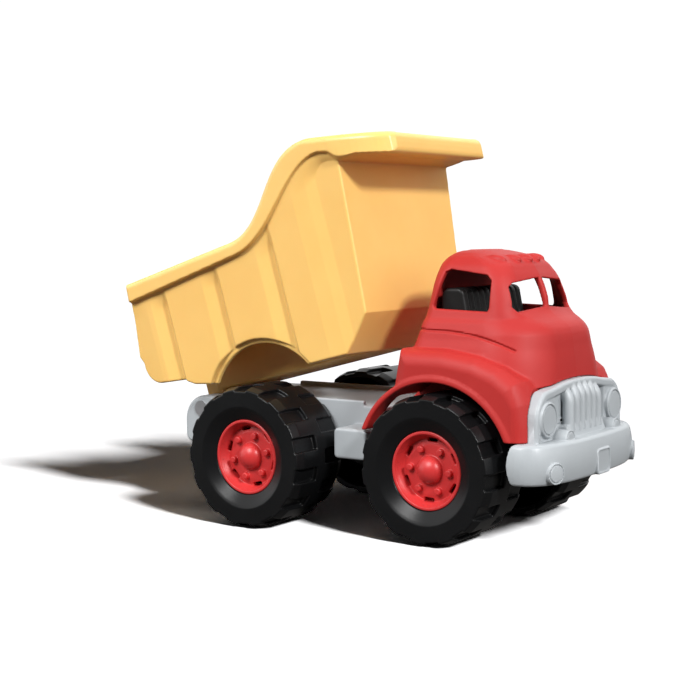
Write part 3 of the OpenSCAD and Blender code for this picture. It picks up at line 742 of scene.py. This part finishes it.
ARCH_EDGE_R = 1.5
WELL_WALL_MIDDLE = 24.0
WELL_WALL_HALF = 1.0
SIDE_WINDOW = [
    (-11, 125.5), (-6.3, 143.5), (-3, 145), (19.8, 142), (22.6, 139), (23.3, 125), (22.4, 123),
    (-9.5, 124),
]
SCREEN_PANE = [(1.9, 124.6), (29.5, 122.4), (32.2, 125.4), (30.6, 135.6), (27.6, 137.8), (1.9, 140)]
GROOVE = [(-20, 113)] + bezier((0, 112.4), (18, 111.4), (30, 108.5), (40, 103), 8)
GROOVE_HALF_W = 0.6
GROOVE_DEPTH = 0.9
ROOF_LIGHTS = 5
ROOF_LIGHT_PITCH = 11.0
ROOF_LIGHT_ALONG = 22.0
ROOF_LIGHT_SWEEP = 110.0
ROOF_LIGHT_Z = 149.7
ROOF_LIGHT_R = 3.2
ROOF_LIGHT_STRETCH = 2.2
FLOOR_STEP_ALONG = -10.0
FLOOR_BACK_Z, FLOOR_FRONT_Z = 58.0, 57.2
WINDOW_EDGE_R = 0.9
SIDE_WINDOW_INNER = 20.0
SCREEN_BACK = 10.0
NECK_ROOM = ((-60, -22.8, 0), (60, 22.8, 64.2))
LEDGE_ROOM = ((30, -24.3, 0), (60, 24.3, 67.3))
SURROUND_GAP = 0.3
CAB_GRID = ((-50, -59.5, 56), (60, 59.5, 157), 0.7)


def cab_loft(g, inset=0.0):
    """The upper cab, in plan outlines that change with height."""
    heights, *columns = np.array(CAB_ROWS, float).T
    back, front, half_w, back_r, front_r, bow = (
        through(g.z + inset, heights, column) for column in columns
    )
    back, front, half_w = back + inset, front - inset, half_w - inset
    back_r, front_r = np.maximum(back_r - inset, 0.5), np.maximum(front_r - inset, 0.5)
    middle, half = (back + front) / 2, (front - back) / 2
    ahead = np.clip((g.x - middle) / half, 0, 1) ** 2
    spread = np.clip(g.side / half_w, 0, 1)
    x = g.x - bow * (1 - spread) * ahead
    r = np.where(x > middle, front_r, back_r)
    qx = abs(x - middle) - half + r
    qy = g.side - half_w + r
    plan = np.hypot(np.maximum(qx, 0), np.maximum(qy, 0)) + np.minimum(np.maximum(qx, qy), 0) - r
    return both(plan, g.z - CAB_TOP + inset, r=1.5)


def fender_field(g, inset=0.0):
    """The fenders and the nose's lower half, as one block with large round edges."""
    side_view = outline(g.x, g.z, FENDER_SIDE) + inset
    plan = outline(g.x, g.side, FENDER_PLAN) + inset
    return both(side_view, plan, FENDER_EDGE_R - inset)


def roof_lights(g, body):
    """Adds a row of small domes across the roof's front, swept back to the sides."""
    for i in range(ROOF_LIGHTS):
        across = (i - (ROOF_LIGHTS - 1) / 2) * ROOF_LIGHT_PITCH
        along = ROOF_LIGHT_ALONG - across**2 / ROOF_LIGHT_SWEEP
        dx, dy, dz = (g.x - along) / ROOF_LIGHT_STRETCH, g.y - across, g.z - ROOF_LIGHT_Z
        body = either(body, np.sqrt(dx**2 + dy**2 + dz**2) - ROOF_LIGHT_R, r=0.8)
    return body


def cab_field(g):
    """The thin cab shell over its arches, open below, at its windows and behind the grille."""
    from_axle = np.hypot(g.x, g.z - AXLE_Z)
    loft = cab_loft(g)
    groove = polyline_distance(g.x, g.z, GROOVE) - GROOVE_HALF_W
    loft = np.maximum(loft, -both(groove, -loft - GROOVE_DEPTH))
    body = either(loft, fender_field(g), FENDER_FILLET)
    lip = abs(g.side - ARCH_LIP_MIDDLE) - ARCH_LIP_HALF_W
    lip = both(from_axle - ARCH_R - ARCH_LIP, lip, ARCH_EDGE_R)
    body = roof_lights(g, either(body, lip, ARCH_EDGE_R))
    inside = np.minimum(cab_loft(g, CAB_WALL), fender_field(g, CAB_WALL))
    inside = np.maximum(inside, ARCH_R + CAB_WALL - from_axle)
    above_floor = np.where(g.x < FLOOR_STEP_ALONG, FLOOR_BACK_Z, FLOOR_FRONT_Z) - g.z
    shell = both(cut(body, inside), above_floor, r=0.5)
    shell = cut(shell, from_axle - ARCH_R, r=0.8)
    well_wall = both(abs(g.side - WELL_WALL_MIDDLE) - WELL_WALL_HALF, from_axle - ARCH_R - 1)
    shell = np.minimum(shell, both(well_wall, above_floor))
    side_window = both(outline(g.x, g.z, SIDE_WINDOW), SIDE_WINDOW_INNER - g.side)
    screen = both(outline(g.side, g.z, SCREEN_PANE), SCREEN_BACK - g.x)
    shell = cut(cut(shell, side_window, WINDOW_EDGE_R), screen, WINDOW_EDGE_R)
    room = np.minimum(block_field(g, *NECK_ROOM), block_field(g, *LEDGE_ROOM))
    surround = outline(g.side, g.z, SURROUND) - SURROUND_GAP
    room = np.minimum(room, both(surround, SURROUND_BACK - SURROUND_GAP - g.x))
    return cut(shell, room, r=0.3)


def make_cab():
    g = Grid(*CAB_GRID)
    cab = moulding("cab_body", g, cab_field(g), keep=0.16)
    dress(cab, RED, "chassis", "cab_plastic", "cab_shell")


# ---- seat and steering wheel ----------------------------------------------

SEAT_HALF_W = 33.0
BACKREST = (
    [(-9, 104), (-9.5, 130)]
    + arc((-4.5, 130), 5, 180, 90, 5)
    + arc((0.5, 131), 4, 90, 0, 5)
    + [(8, 113), (9, 104)]
)
BACKREST_HOLLOW = ((-6.5, -30, 99), (2.5, 30, 125))
CUSHION = ((-9, -SEAT_HALF_W, 104), (25, SEAT_HALF_W, 112))
SEAT_TRAY = ((-17, -SEAT_HALF_W, 101), (31.5, SEAT_HALF_W, 104.2))
TRAY_TONGUE = ((30.5, -10, 101), (43, 10, 104))
DASHBOARD = ((27, -30, 101), (31.5, 30, 113))
SEAT_EDGE_R = 1.8
PLEATS = 11
PLEAT_DEPTH = 0.9
PLEAT_HALF_W = 0.8
SEAT_GRID = ((-18, -34, 100), (44, 34, 137.5), 0.6)
COLUMN = Vector((22.5, 17.0, 119.0))
COLUMN_LEAN = math.radians(-35)
COLUMN_R = 1.6
COLUMN_RUN = (-12.0, 0.8)
HAND_RING_R = 6.6
HAND_RING_HALF = 1.1
SPOKES = 3
SPOKE_R = 0.8
SPOKE_LENGTH = 6.4
STEERING_GRID = ((-8.5, -8.5, -13), (8.5, 8.5, 2), 0.35)


def pleats(g):
    """Depth of the creases between the seat's pleats, none at its two ends."""
    pleat = 2 * SEAT_HALF_W / PLEATS
    crease = abs((g.y + SEAT_HALF_W + pleat / 2) % pleat - pleat / 2)
    edge = ramp(g.side, SEAT_HALF_W - pleat * 0.5, SEAT_HALF_W - pleat * 0.3)
    return PLEAT_DEPTH * np.exp(-((crease / PLEAT_HALF_W) ** 2)) * (1 - edge)


def seat_field(g):
    """A pleated bench on a tray, with a dashboard at the tray's front."""
    back = both(outline(g.x, g.z, BACKREST), g.side - SEAT_HALF_W, SEAT_EDGE_R)
    cushion = block_field(g, *CUSHION, SEAT_EDGE_R)
    crown = pleats(g)
    seat = either(back + crown, cushion + crown, r=1)
    seat = np.minimum(seat, block_field(g, *SEAT_TRAY))
    seat = np.minimum(seat, block_field(g, *TRAY_TONGUE))
    seat = np.minimum(seat, block_field(g, *DASHBOARD, r=1.5))
    return cut(seat, block_field(g, *BACKREST_HOLLOW, r=2), r=0.5)


def steering_field(g):
    """The hand ring in the plane Z = 0, its spokes and the column behind it."""
    r = np.hypot(g.x, g.y)
    wheel = np.hypot(r - HAND_RING_R, g.z) - HAND_RING_HALF
    for spoke in range(SPOKES):
        angle = 2 * math.pi * spoke / SPOKES
        c, s = math.cos(angle), math.sin(angle)
        along = between(g.x * c + g.y * s, 0, SPOKE_LENGTH)
        arm = both(np.hypot(g.x * s - g.y * c, g.z) - SPOKE_R, along)
        wheel = either(wheel, arm, r=0.5)
    column = both(r - COLUMN_R, between(g.z, *COLUMN_RUN), r=0.5)
    return either(wheel, column, r=0.5)


def make_interior():
    g = Grid(*SEAT_GRID)
    seat = moulding("seat_bench", g, seat_field(g), keep=0.16)
    dress(seat, CHARCOAL, "chassis", "seat_plastic", "cab_interior")
    g = Grid(*STEERING_GRID)
    lean = Matrix.Rotation(COLUMN_LEAN, 4, "Y")
    spot = Matrix.Translation((COLUMN + Vector((FRONT_X, 0, 0))) * MM)
    field = steering_field(g)
    wheel = moulding("steering_wheel_moulded", g, field, keep=0.3, place=spot @ lean)
    dress(wheel, CHARCOAL, "chassis", "seat_plastic", "steering_wheel")


# ---- bumper and grille ----------------------------------------------------

BUMPER_HALF_W = 62.0
BUMPER_BACK = 46.0
BUMPER_FRONT = 71.4
BUMPER_LOW, BUMPER_TOP = 35.5, 57.0
BUMPER_WALL = 3.2
BUMPER_EDGE_R = 1.8
BARREL = 0.018
BOW_POWER = 3
BOW_STEPS = 24
SURROUND_BACK = 50.5
SURROUND_FRONT = 58.5
SURROUND_BAND = 4.6
RECESS_FLOOR = 55.2
SURROUND = (
    [(51.5, 40)]
    + arc((34.5, 67), 17, 0, 68, 8)
    + bezier((27, 84.4), (16, 86.6), (6, 86.6), (-6, 86.6), 8)
    + [(-6, 40)]
)
SURROUND_EDGE_R = 2.0
RECESS_EDGE_R = 1.2
LEDGE = [(50, 52), (50, 63.5), (60.5, 63.2), (64.5, 52)]
LEDGE_HALF_W = 22.0
LEDGE_BACK = ((38, -24, 64.2), (56, 24, 67))
NECK_FRONT = ((30, -22.9, 0), (52.4, 22.9, 64.2))
BARS = 6
BAR_PITCH = 6.6
BAR_R = 3.2
BAR_ALONG = 58.8
BAR_BEND = 8.0
BAR_TOP = 76.5
BAR_TOP_DROP = 0.55
BAR_LOW = 60.0
POD_ALONG, POD_Z = 54.5, 69.3
POD_HALF = (3.2, 10.0, 13.5)
POD_CORNER_R = 4.0
POD_EDGE_R = 1.6
HEAD_LAMP = (59.9, 39.8, 68.2)
HEAD_LAMP_R = 9.3
HEAD_LAMP_DEPTH = 7.0
TOP_LAMP = (66.5, 28.5, 57)
TOP_LAMP_R = 5.2
TOP_LAMP_DEPTH = 12.0
FOG_LAMP = (68.2, 48.1, 42)
FOG_LAMP_R = 5.6
FOG_LAMP_DEPTH = 8.0
FOG_TURN = math.radians(20)
LAMP_EDGE_R = 0.9
LAMP_GLASS_SHARE = 0.83
LAMP_DISH_SHARE = 0.8
LAMP_GROOVE_HALF_W = 0.35
LAMP_GROOVE_DEPTH = 0.9
LAMP_DOME = 0.6
LAMP_SINK = 0.5
PLATE = (71.4, 42.9)
PLATE_HALF = (8.0, 6.9)
PLATE_CORNER_R = 2.4
PLATE_BORDER = 1.2
FRONT_GRID = ((37, -63, 34.5), (73.5, 63, 88), 0.5)


def bumper_bow(t):
    """How far forward the bumper reaches, at a share t of its half width."""
    return max(0.0, 1 - t**BOW_POWER) ** (1 / BOW_POWER)


def bumper_line():
    """Half the bumper's plan, with its points closest together at the sides."""
    shares = [math.sin(math.pi / 2 * i / BOW_STEPS) for i in range(BOW_STEPS + 1)]
    reach = BUMPER_FRONT - BUMPER_BACK
    curve = [(BUMPER_BACK + reach * bumper_bow(t), BUMPER_HALF_W * t) for t in shares]
    return [(BUMPER_BACK, -90), (BUMPER_FRONT, -90)] + curve


def lamp_field(g, place, r, depth, turn=0.0):
    """A round lamp looking forward, turned outward, with a rim, a groove and a crowned glass."""
    c, s = math.cos(turn), math.sin(turn)
    dx, dy, dz = g.x - place[0], g.side - place[1], g.z - place[2]
    out = dx * c + dy * s
    across = np.hypot(dy * c - dx * s, dz)
    glass_r = r * LAMP_GLASS_SHARE
    body = both(across - r, abs(out + depth / 2) - depth / 2, LAMP_EDGE_R)
    ring = both(abs(across - glass_r) - LAMP_GROOVE_HALF_W, -out - LAMP_GROOVE_DEPTH)
    glass = out - LAMP_DOME * (1 - (across / glass_r) ** 2) + LAMP_SINK
    dished = both(across - r * LAMP_DISH_SHARE, -0.2 - out)
    body = np.maximum(body, -both(dished, -glass))
    return np.maximum(body, -ring)


def bar_field(g):
    """Tubes that rise from the ledge and bend back over the top."""
    index = np.clip(np.round(g.side / BAR_PITCH - 0.5), 0, BARS / 2 - 1)
    across = g.side - (index + 0.5) * BAR_PITCH
    bend_z = BAR_TOP - BAR_TOP_DROP * index**2
    back = BAR_ALONG - BAR_BEND
    round_bend = abs(np.hypot(g.x - back, g.z - bend_z) - BAR_BEND)
    return np.hypot(np.where(g.z < bend_z, abs(g.x - BAR_ALONG), round_bend), across) - BAR_R


def grille_field(g):
    """The recessed surround with its bars, head lamps and the ledge below them."""
    edge = outline(g.side, g.z, SURROUND)
    recess = edge + SURROUND_BAND
    frame = both(edge, between(g.x, SURROUND_BACK, SURROUND_FRONT), SURROUND_EDGE_R)
    frame = cut(frame, both(recess, RECESS_FLOOR - g.x), RECESS_EDGE_R)
    across, up = abs(g.side - HEAD_LAMP[1]) - POD_HALF[1], abs(g.z - POD_Z) - POD_HALF[2]
    pod = both(across, up, POD_CORNER_R)
    pod = both(both(pod, abs(g.x - POD_ALONG) - POD_HALF[0], POD_EDGE_R), recess - 0.6, r=1)
    lamp = lamp_field(g, HEAD_LAMP, HEAD_LAMP_R, HEAD_LAMP_DEPTH)
    ledge = both(outline(g.x, g.z, LEDGE), g.side - LEDGE_HALF_W, r=1.2)
    bars = both(bar_field(g), BAR_LOW - g.z)
    frame = either(either(frame, bars, r=0.5), ledge, r=0.8)
    return either(either(frame, pod, r=0.8), lamp, r=0.4)


def plate_field(g, shell):
    """Adds the plain plate at the bumper's middle, with a raised border."""
    plate = abs(g.side) - PLATE_HALF[0]
    plate = both(plate, abs(g.z - PLATE[1]) - PLATE_HALF[1], PLATE_CORNER_R)
    shell = either(shell, both(plate, abs(g.x - PLATE[0] + 2) - 2.6, r=0.5), r=0.3)
    return cut(shell, both(plate + PLATE_BORDER, PLATE[0] - 0.2 - g.x), r=0.3)


def bumper_field(g):
    """The bowed bumper, open below, with its lamps and plate."""
    mid_z = (BUMPER_LOW + BUMPER_TOP) / 2
    line = outline(g.x, g.side, bumper_line())
    front = line + BARREL * (g.z - mid_z) ** 2
    slab = both(front, between(g.z, BUMPER_LOW, BUMPER_TOP), BUMPER_EDGE_R)
    hollow = both(line + BUMPER_WALL, g.z - BUMPER_TOP + 3, r=1)
    shell = cut(slab, hollow, r=0.4)
    shell = either(shell, lamp_field(g, TOP_LAMP, TOP_LAMP_R, TOP_LAMP_DEPTH), r=0.6)
    fog_lamp = lamp_field(g, FOG_LAMP, FOG_LAMP_R, FOG_LAMP_DEPTH, FOG_TURN)
    return plate_field(g, either(shell, fog_lamp, r=0.3))


def front_moulding_field(g):
    """Grille and bumper as one moulding, with room for the chassis neck."""
    whole = np.minimum(grille_field(g), bumper_field(g))
    whole = np.minimum(whole, block_field(g, *LEDGE_BACK))
    return cut(whole, block_field(g, *NECK_FRONT))


def make_front():
    g = Grid(*FRONT_GRID)
    front = moulding("bumper_and_grille_moulded", g, front_moulding_field(g), keep=0.14)
    dress(front, GREY, "chassis", "trim_plastic", "bumper_and_grille")


# ---- chassis --------------------------------------------------------------

DECK_Z = 68.0
RAIL_Z = 70.8
RAIL_MIDDLE_Z = 60.0
RAIL_HALF_W = 1.5
RAIL_ALONG = -107.0
RAIL_HALF_LENGTH = 49.0
FRAME_LOW = 49.0
FRAME_HALF_W = 37.0
FRAME_WALL = 3.0
FRAME_REAR = -156.0
FRAME_EDGE_R = 0.8
BAYS_REAR = -150.0
DECK_BAYS = 5
NECK_START = -44.0
NECK_TOP = 64.0
NECK_HALF_W = 22.5
NECK_BAYS = 4
FRAME_FRONT = 52.0
TAIL_HALF_W = 43.0
TAIL_START = -154.0
TAIL_SIDE = (
    [(-150, 39), (-150, DECK_Z)]
    + arc((-171, 53), 15, 90, 180, 10)
    + arc((-181, 44), 5, 180, 270, 5)
)
TAIL_EDGE_R = 2.0
LUG_SLOT_HALF_W = 3.75
LUG_SLOT_LOW = 51.0
LUG_SLOT_FRONT = -158.0
PAD_TOP = 63.0
PAD_HALF_LENGTH = 14.0
PAD_HALF_WIDTHS = ((0, NECK_HALF_W), (REAR_ALONG, 36))
TANK = ((-65, 36, 40.5), (-43.5, 57, 57.5))
CHASSIS_GRID = ((-187, -58, 38), (53, 58, 72), 0.8)


def bay_field(g, low, high, count, half_w, top):
    """Open-bottomed bays between cross ribs, either side of a middle rib."""
    pitch = (high - low) / count
    bay = both(between((g.x - low) % pitch, 0, pitch - FRAME_WALL), between(g.x, low, high))
    across = between(g.side, 0, half_w) + FRAME_WALL / 2
    return both(both(bay, across), g.z - (top - FRAME_WALL))


def tank_field(g):
    """A rounded box on each side, behind the cab."""
    (back, inner, low), (front, outer, top) = TANK
    tank = both(between(g.x, back, front), between(g.z, low, top), r=2.5)
    return both(tank, between(g.side, inner, outer), r=1.5)


def rail_field(g):
    """The two rails that the bed rests on."""
    rail = abs(g.side - FRAME_HALF_W + RAIL_HALF_W) - RAIL_HALF_W
    rail = both(rail, abs(g.z - RAIL_MIDDLE_Z) - RAIL_Z + RAIL_MIDDLE_Z, r=0.6)
    return both(rail, abs(g.x - RAIL_ALONG) - RAIL_HALF_LENGTH, r=0.6)


def chassis_field(g):
    """Deck, tail and neck with open bays below, rails, axle pads, tanks and lug slots."""
    deck_low, deck_high = (FRAME_REAR, -FRAME_HALF_W, FRAME_LOW), (NECK_START, FRAME_HALF_W, DECK_Z)
    neck_low, neck_high = (NECK_START - 1, -NECK_HALF_W, FRAME_LOW), (FRAME_FRONT, NECK_HALF_W, NECK_TOP)
    tail = both(outline(g.x, g.z, TAIL_SIDE), g.side - TAIL_HALF_W, TAIL_EDGE_R)
    frame = np.minimum(block_field(g, deck_low, deck_high, FRAME_EDGE_R), rail_field(g))
    frame = np.minimum(frame, both(tail, g.x - TAIL_START, r=0.6))
    frame = np.minimum(frame, block_field(g, neck_low, neck_high, FRAME_EDGE_R))
    deck_bays = (BAYS_REAR, NECK_START - FRAME_WALL, DECK_BAYS, FRAME_HALF_W, DECK_Z)
    neck_bays = (NECK_START, FRAME_FRONT, NECK_BAYS, NECK_HALF_W, NECK_TOP)
    for bays in (deck_bays, neck_bays):
        frame = cut(frame, bay_field(g, *bays), r=0.5)
    for along, half_w in PAD_HALF_WIDTHS:
        low, high = along - PAD_HALF_LENGTH, along + PAD_HALF_LENGTH
        pad = block_field(g, (low, -half_w, FRAME_LOW), (high, half_w, PAD_TOP), r=0.5)
        frame = np.minimum(frame, pad)
    frame = either(frame, tank_field(g), r=0.8)
    slot = both(abs(g.side - LUG_MIDDLE) - LUG_SLOT_HALF_W, LUG_SLOT_LOW - g.z)
    return cut(frame, both(slot, g.x - LUG_SLOT_FRONT), r=0.4)


def make_chassis():
    g = Grid(*CHASSIS_GRID)
    chassis = moulding("chassis_moulded", g, chassis_field(g), keep=0.14)
    dress(chassis, GREY, "chassis", "trim_plastic", "chassis_frame")


def paint(material, *nodes):
    """Gives CAD nodes that stay in view their finish."""
    for name in nodes:
        mesh = frame["nodes"][name].data
        mesh.materials.clear()
        mesh.materials.append(material)


# ---- floor, light and camera ----------------------------------------------

CAMERA_SPOT = Vector((462.0, -692.8, 165.3))
CAMERA_TURN = math.radians(34.823)
CAMERA_DOWN = math.radians(4.73)
CAMERA_ROLL = math.radians(-0.536)
LENS = 73.02
NEAR_CLIP = 0.01
ROOM_LIGHT = 0.015
BACKDROP_LIGHT = 1.05
FLOOR_HALF = 6.0
FLOOR_SEEN = (2.5, 2.5, 2.52)
FLOOR_BOUNCE = (0.25, 0.24, 0.23)
# Each light: name, azimuth and height in degrees, strength, and spread in degrees.
KEY_LIGHT = ("key", -20, 33, 2.5, 8)
FILL_LIGHTS = (
    ("side", -98, 42, 2.9, 25),
    ("top", 80, 75, 0.6, 50),
    ("front", 10, 12, 1.2, 60),
    ("far_side", 105, 25, 1.2, 70),
    ("behind", 200, 20, 1.6, 70),
)


def make_camera():
    camera = bpy.data.objects.new("camera", bpy.data.cameras.new("camera"))
    bpy.context.scene.collection.objects.link(camera)
    camera.data.lens = LENS
    camera.data.clip_start = NEAR_CLIP
    turn, down = CAMERA_TURN, CAMERA_DOWN
    ahead = Vector((-math.sin(turn) * math.cos(down), math.cos(turn) * math.cos(down), -math.sin(down)))
    right = Vector((math.cos(turn), math.sin(turn), 0))
    up = right.cross(ahead)
    c, s = math.cos(CAMERA_ROLL), math.sin(CAMERA_ROLL)
    right, up = c * right + s * up, c * up - s * right
    aim = Matrix((right, up, -ahead)).transposed().to_4x4()
    camera.matrix_world = Matrix.Translation(CAMERA_SPOT * MM) @ aim
    bpy.context.scene.camera = camera


def make_floor():
    """A pale floor, brighter to the camera than to the truck, so little light comes up from it."""
    half = FLOOR_HALF
    mesh = bpy.data.meshes.new("floor")
    corners = [(-half, -half, 0), (half, -half, 0), (half, half, 0), (-half, half, 0)]
    mesh.from_pydata(corners, [], [(0, 1, 2, 3)])
    floor = bpy.data.objects.new("floor", mesh)
    bpy.context.scene.collection.objects.link(floor)
    material = bpy.data.materials.new("floor_white")
    material.use_nodes = True
    tree = material.node_tree
    tree.nodes.remove(tree.nodes["Principled BSDF"])
    seen = node(tree, "ShaderNodeBsdfDiffuse", Color=(*FLOOR_SEEN, 1))
    bounce = node(tree, "ShaderNodeBsdfDiffuse", Color=(*FLOOR_BOUNCE, 1))
    mix = node(tree, "ShaderNodeMixShader")
    tree.links.new(node(tree, "ShaderNodeLightPath").outputs["Is Camera Ray"], mix.inputs[0])
    tree.links.new(bounce.outputs[0], mix.inputs[1])
    tree.links.new(seen.outputs[0], mix.inputs[2])
    tree.links.new(mix.outputs[0], tree.nodes["Material Output"].inputs["Surface"])
    mesh.materials.append(material)
    return floor


def make_world():
    world = bpy.data.worlds.new("studio")
    world.use_nodes = True
    tree = world.node_tree
    back = tree.nodes["Background"]
    back.inputs["Color"].default_value = (1, 1, 1, 1)
    dim = node(tree, "ShaderNodeMapRange")
    dim.inputs["To Min"].default_value = ROOM_LIGHT
    dim.inputs["To Max"].default_value = BACKDROP_LIGHT
    tree.links.new(node(tree, "ShaderNodeLightPath").outputs["Is Camera Ray"], dim.inputs["Value"])
    tree.links.new(dim.outputs["Result"], back.inputs["Strength"])
    bpy.context.scene.world = world
    bpy.context.scene.view_settings.view_transform = "Standard"


def soft_sun(name, azimuth, height, strength, spread):
    """A distant soft light, from an azimuth counted from +X towards +Y, at a height in degrees."""
    light = bpy.data.lights.new(name, "SUN")
    light.energy = strength
    light.angle = math.radians(spread)
    lamp = bpy.data.objects.new(name, light)
    bpy.context.scene.collection.objects.link(lamp)
    a, h = math.radians(azimuth), math.radians(height)
    source = Vector((math.cos(a) * math.cos(h), math.sin(a) * math.cos(h), math.sin(h)))
    lamp.rotation_euler = source.to_track_quat("Z", "Y").to_euler()
    return lamp


def make_studio():
    make_world()
    floor = make_floor()
    off_floor = bpy.data.collections.new("off_floor")
    off_floor.objects.link(floor)
    off_floor.collection_objects[0].light_linking.link_state = "EXCLUDE"
    soft_sun(*KEY_LIGHT)
    for name, azimuth, height, strength, spread in FILL_LIGHTS:
        lamp = soft_sun(name, azimuth, height, strength, spread)
        lamp.light_linking.receiver_collection = off_floor


make_studio()
make_camera()
make_bed()
make_wheels()
make_cab()
make_interior()
make_front()
make_chassis()
paint(GREY, "front_axle_cradle", "rear_axle_cradle")
paint(STEEL, "cradle_screws", "cab_screws", "bumper_screws")
paint(STEEL, "left_hinge_pin", "right_hinge_pin", "front_axle", "rear_axle")
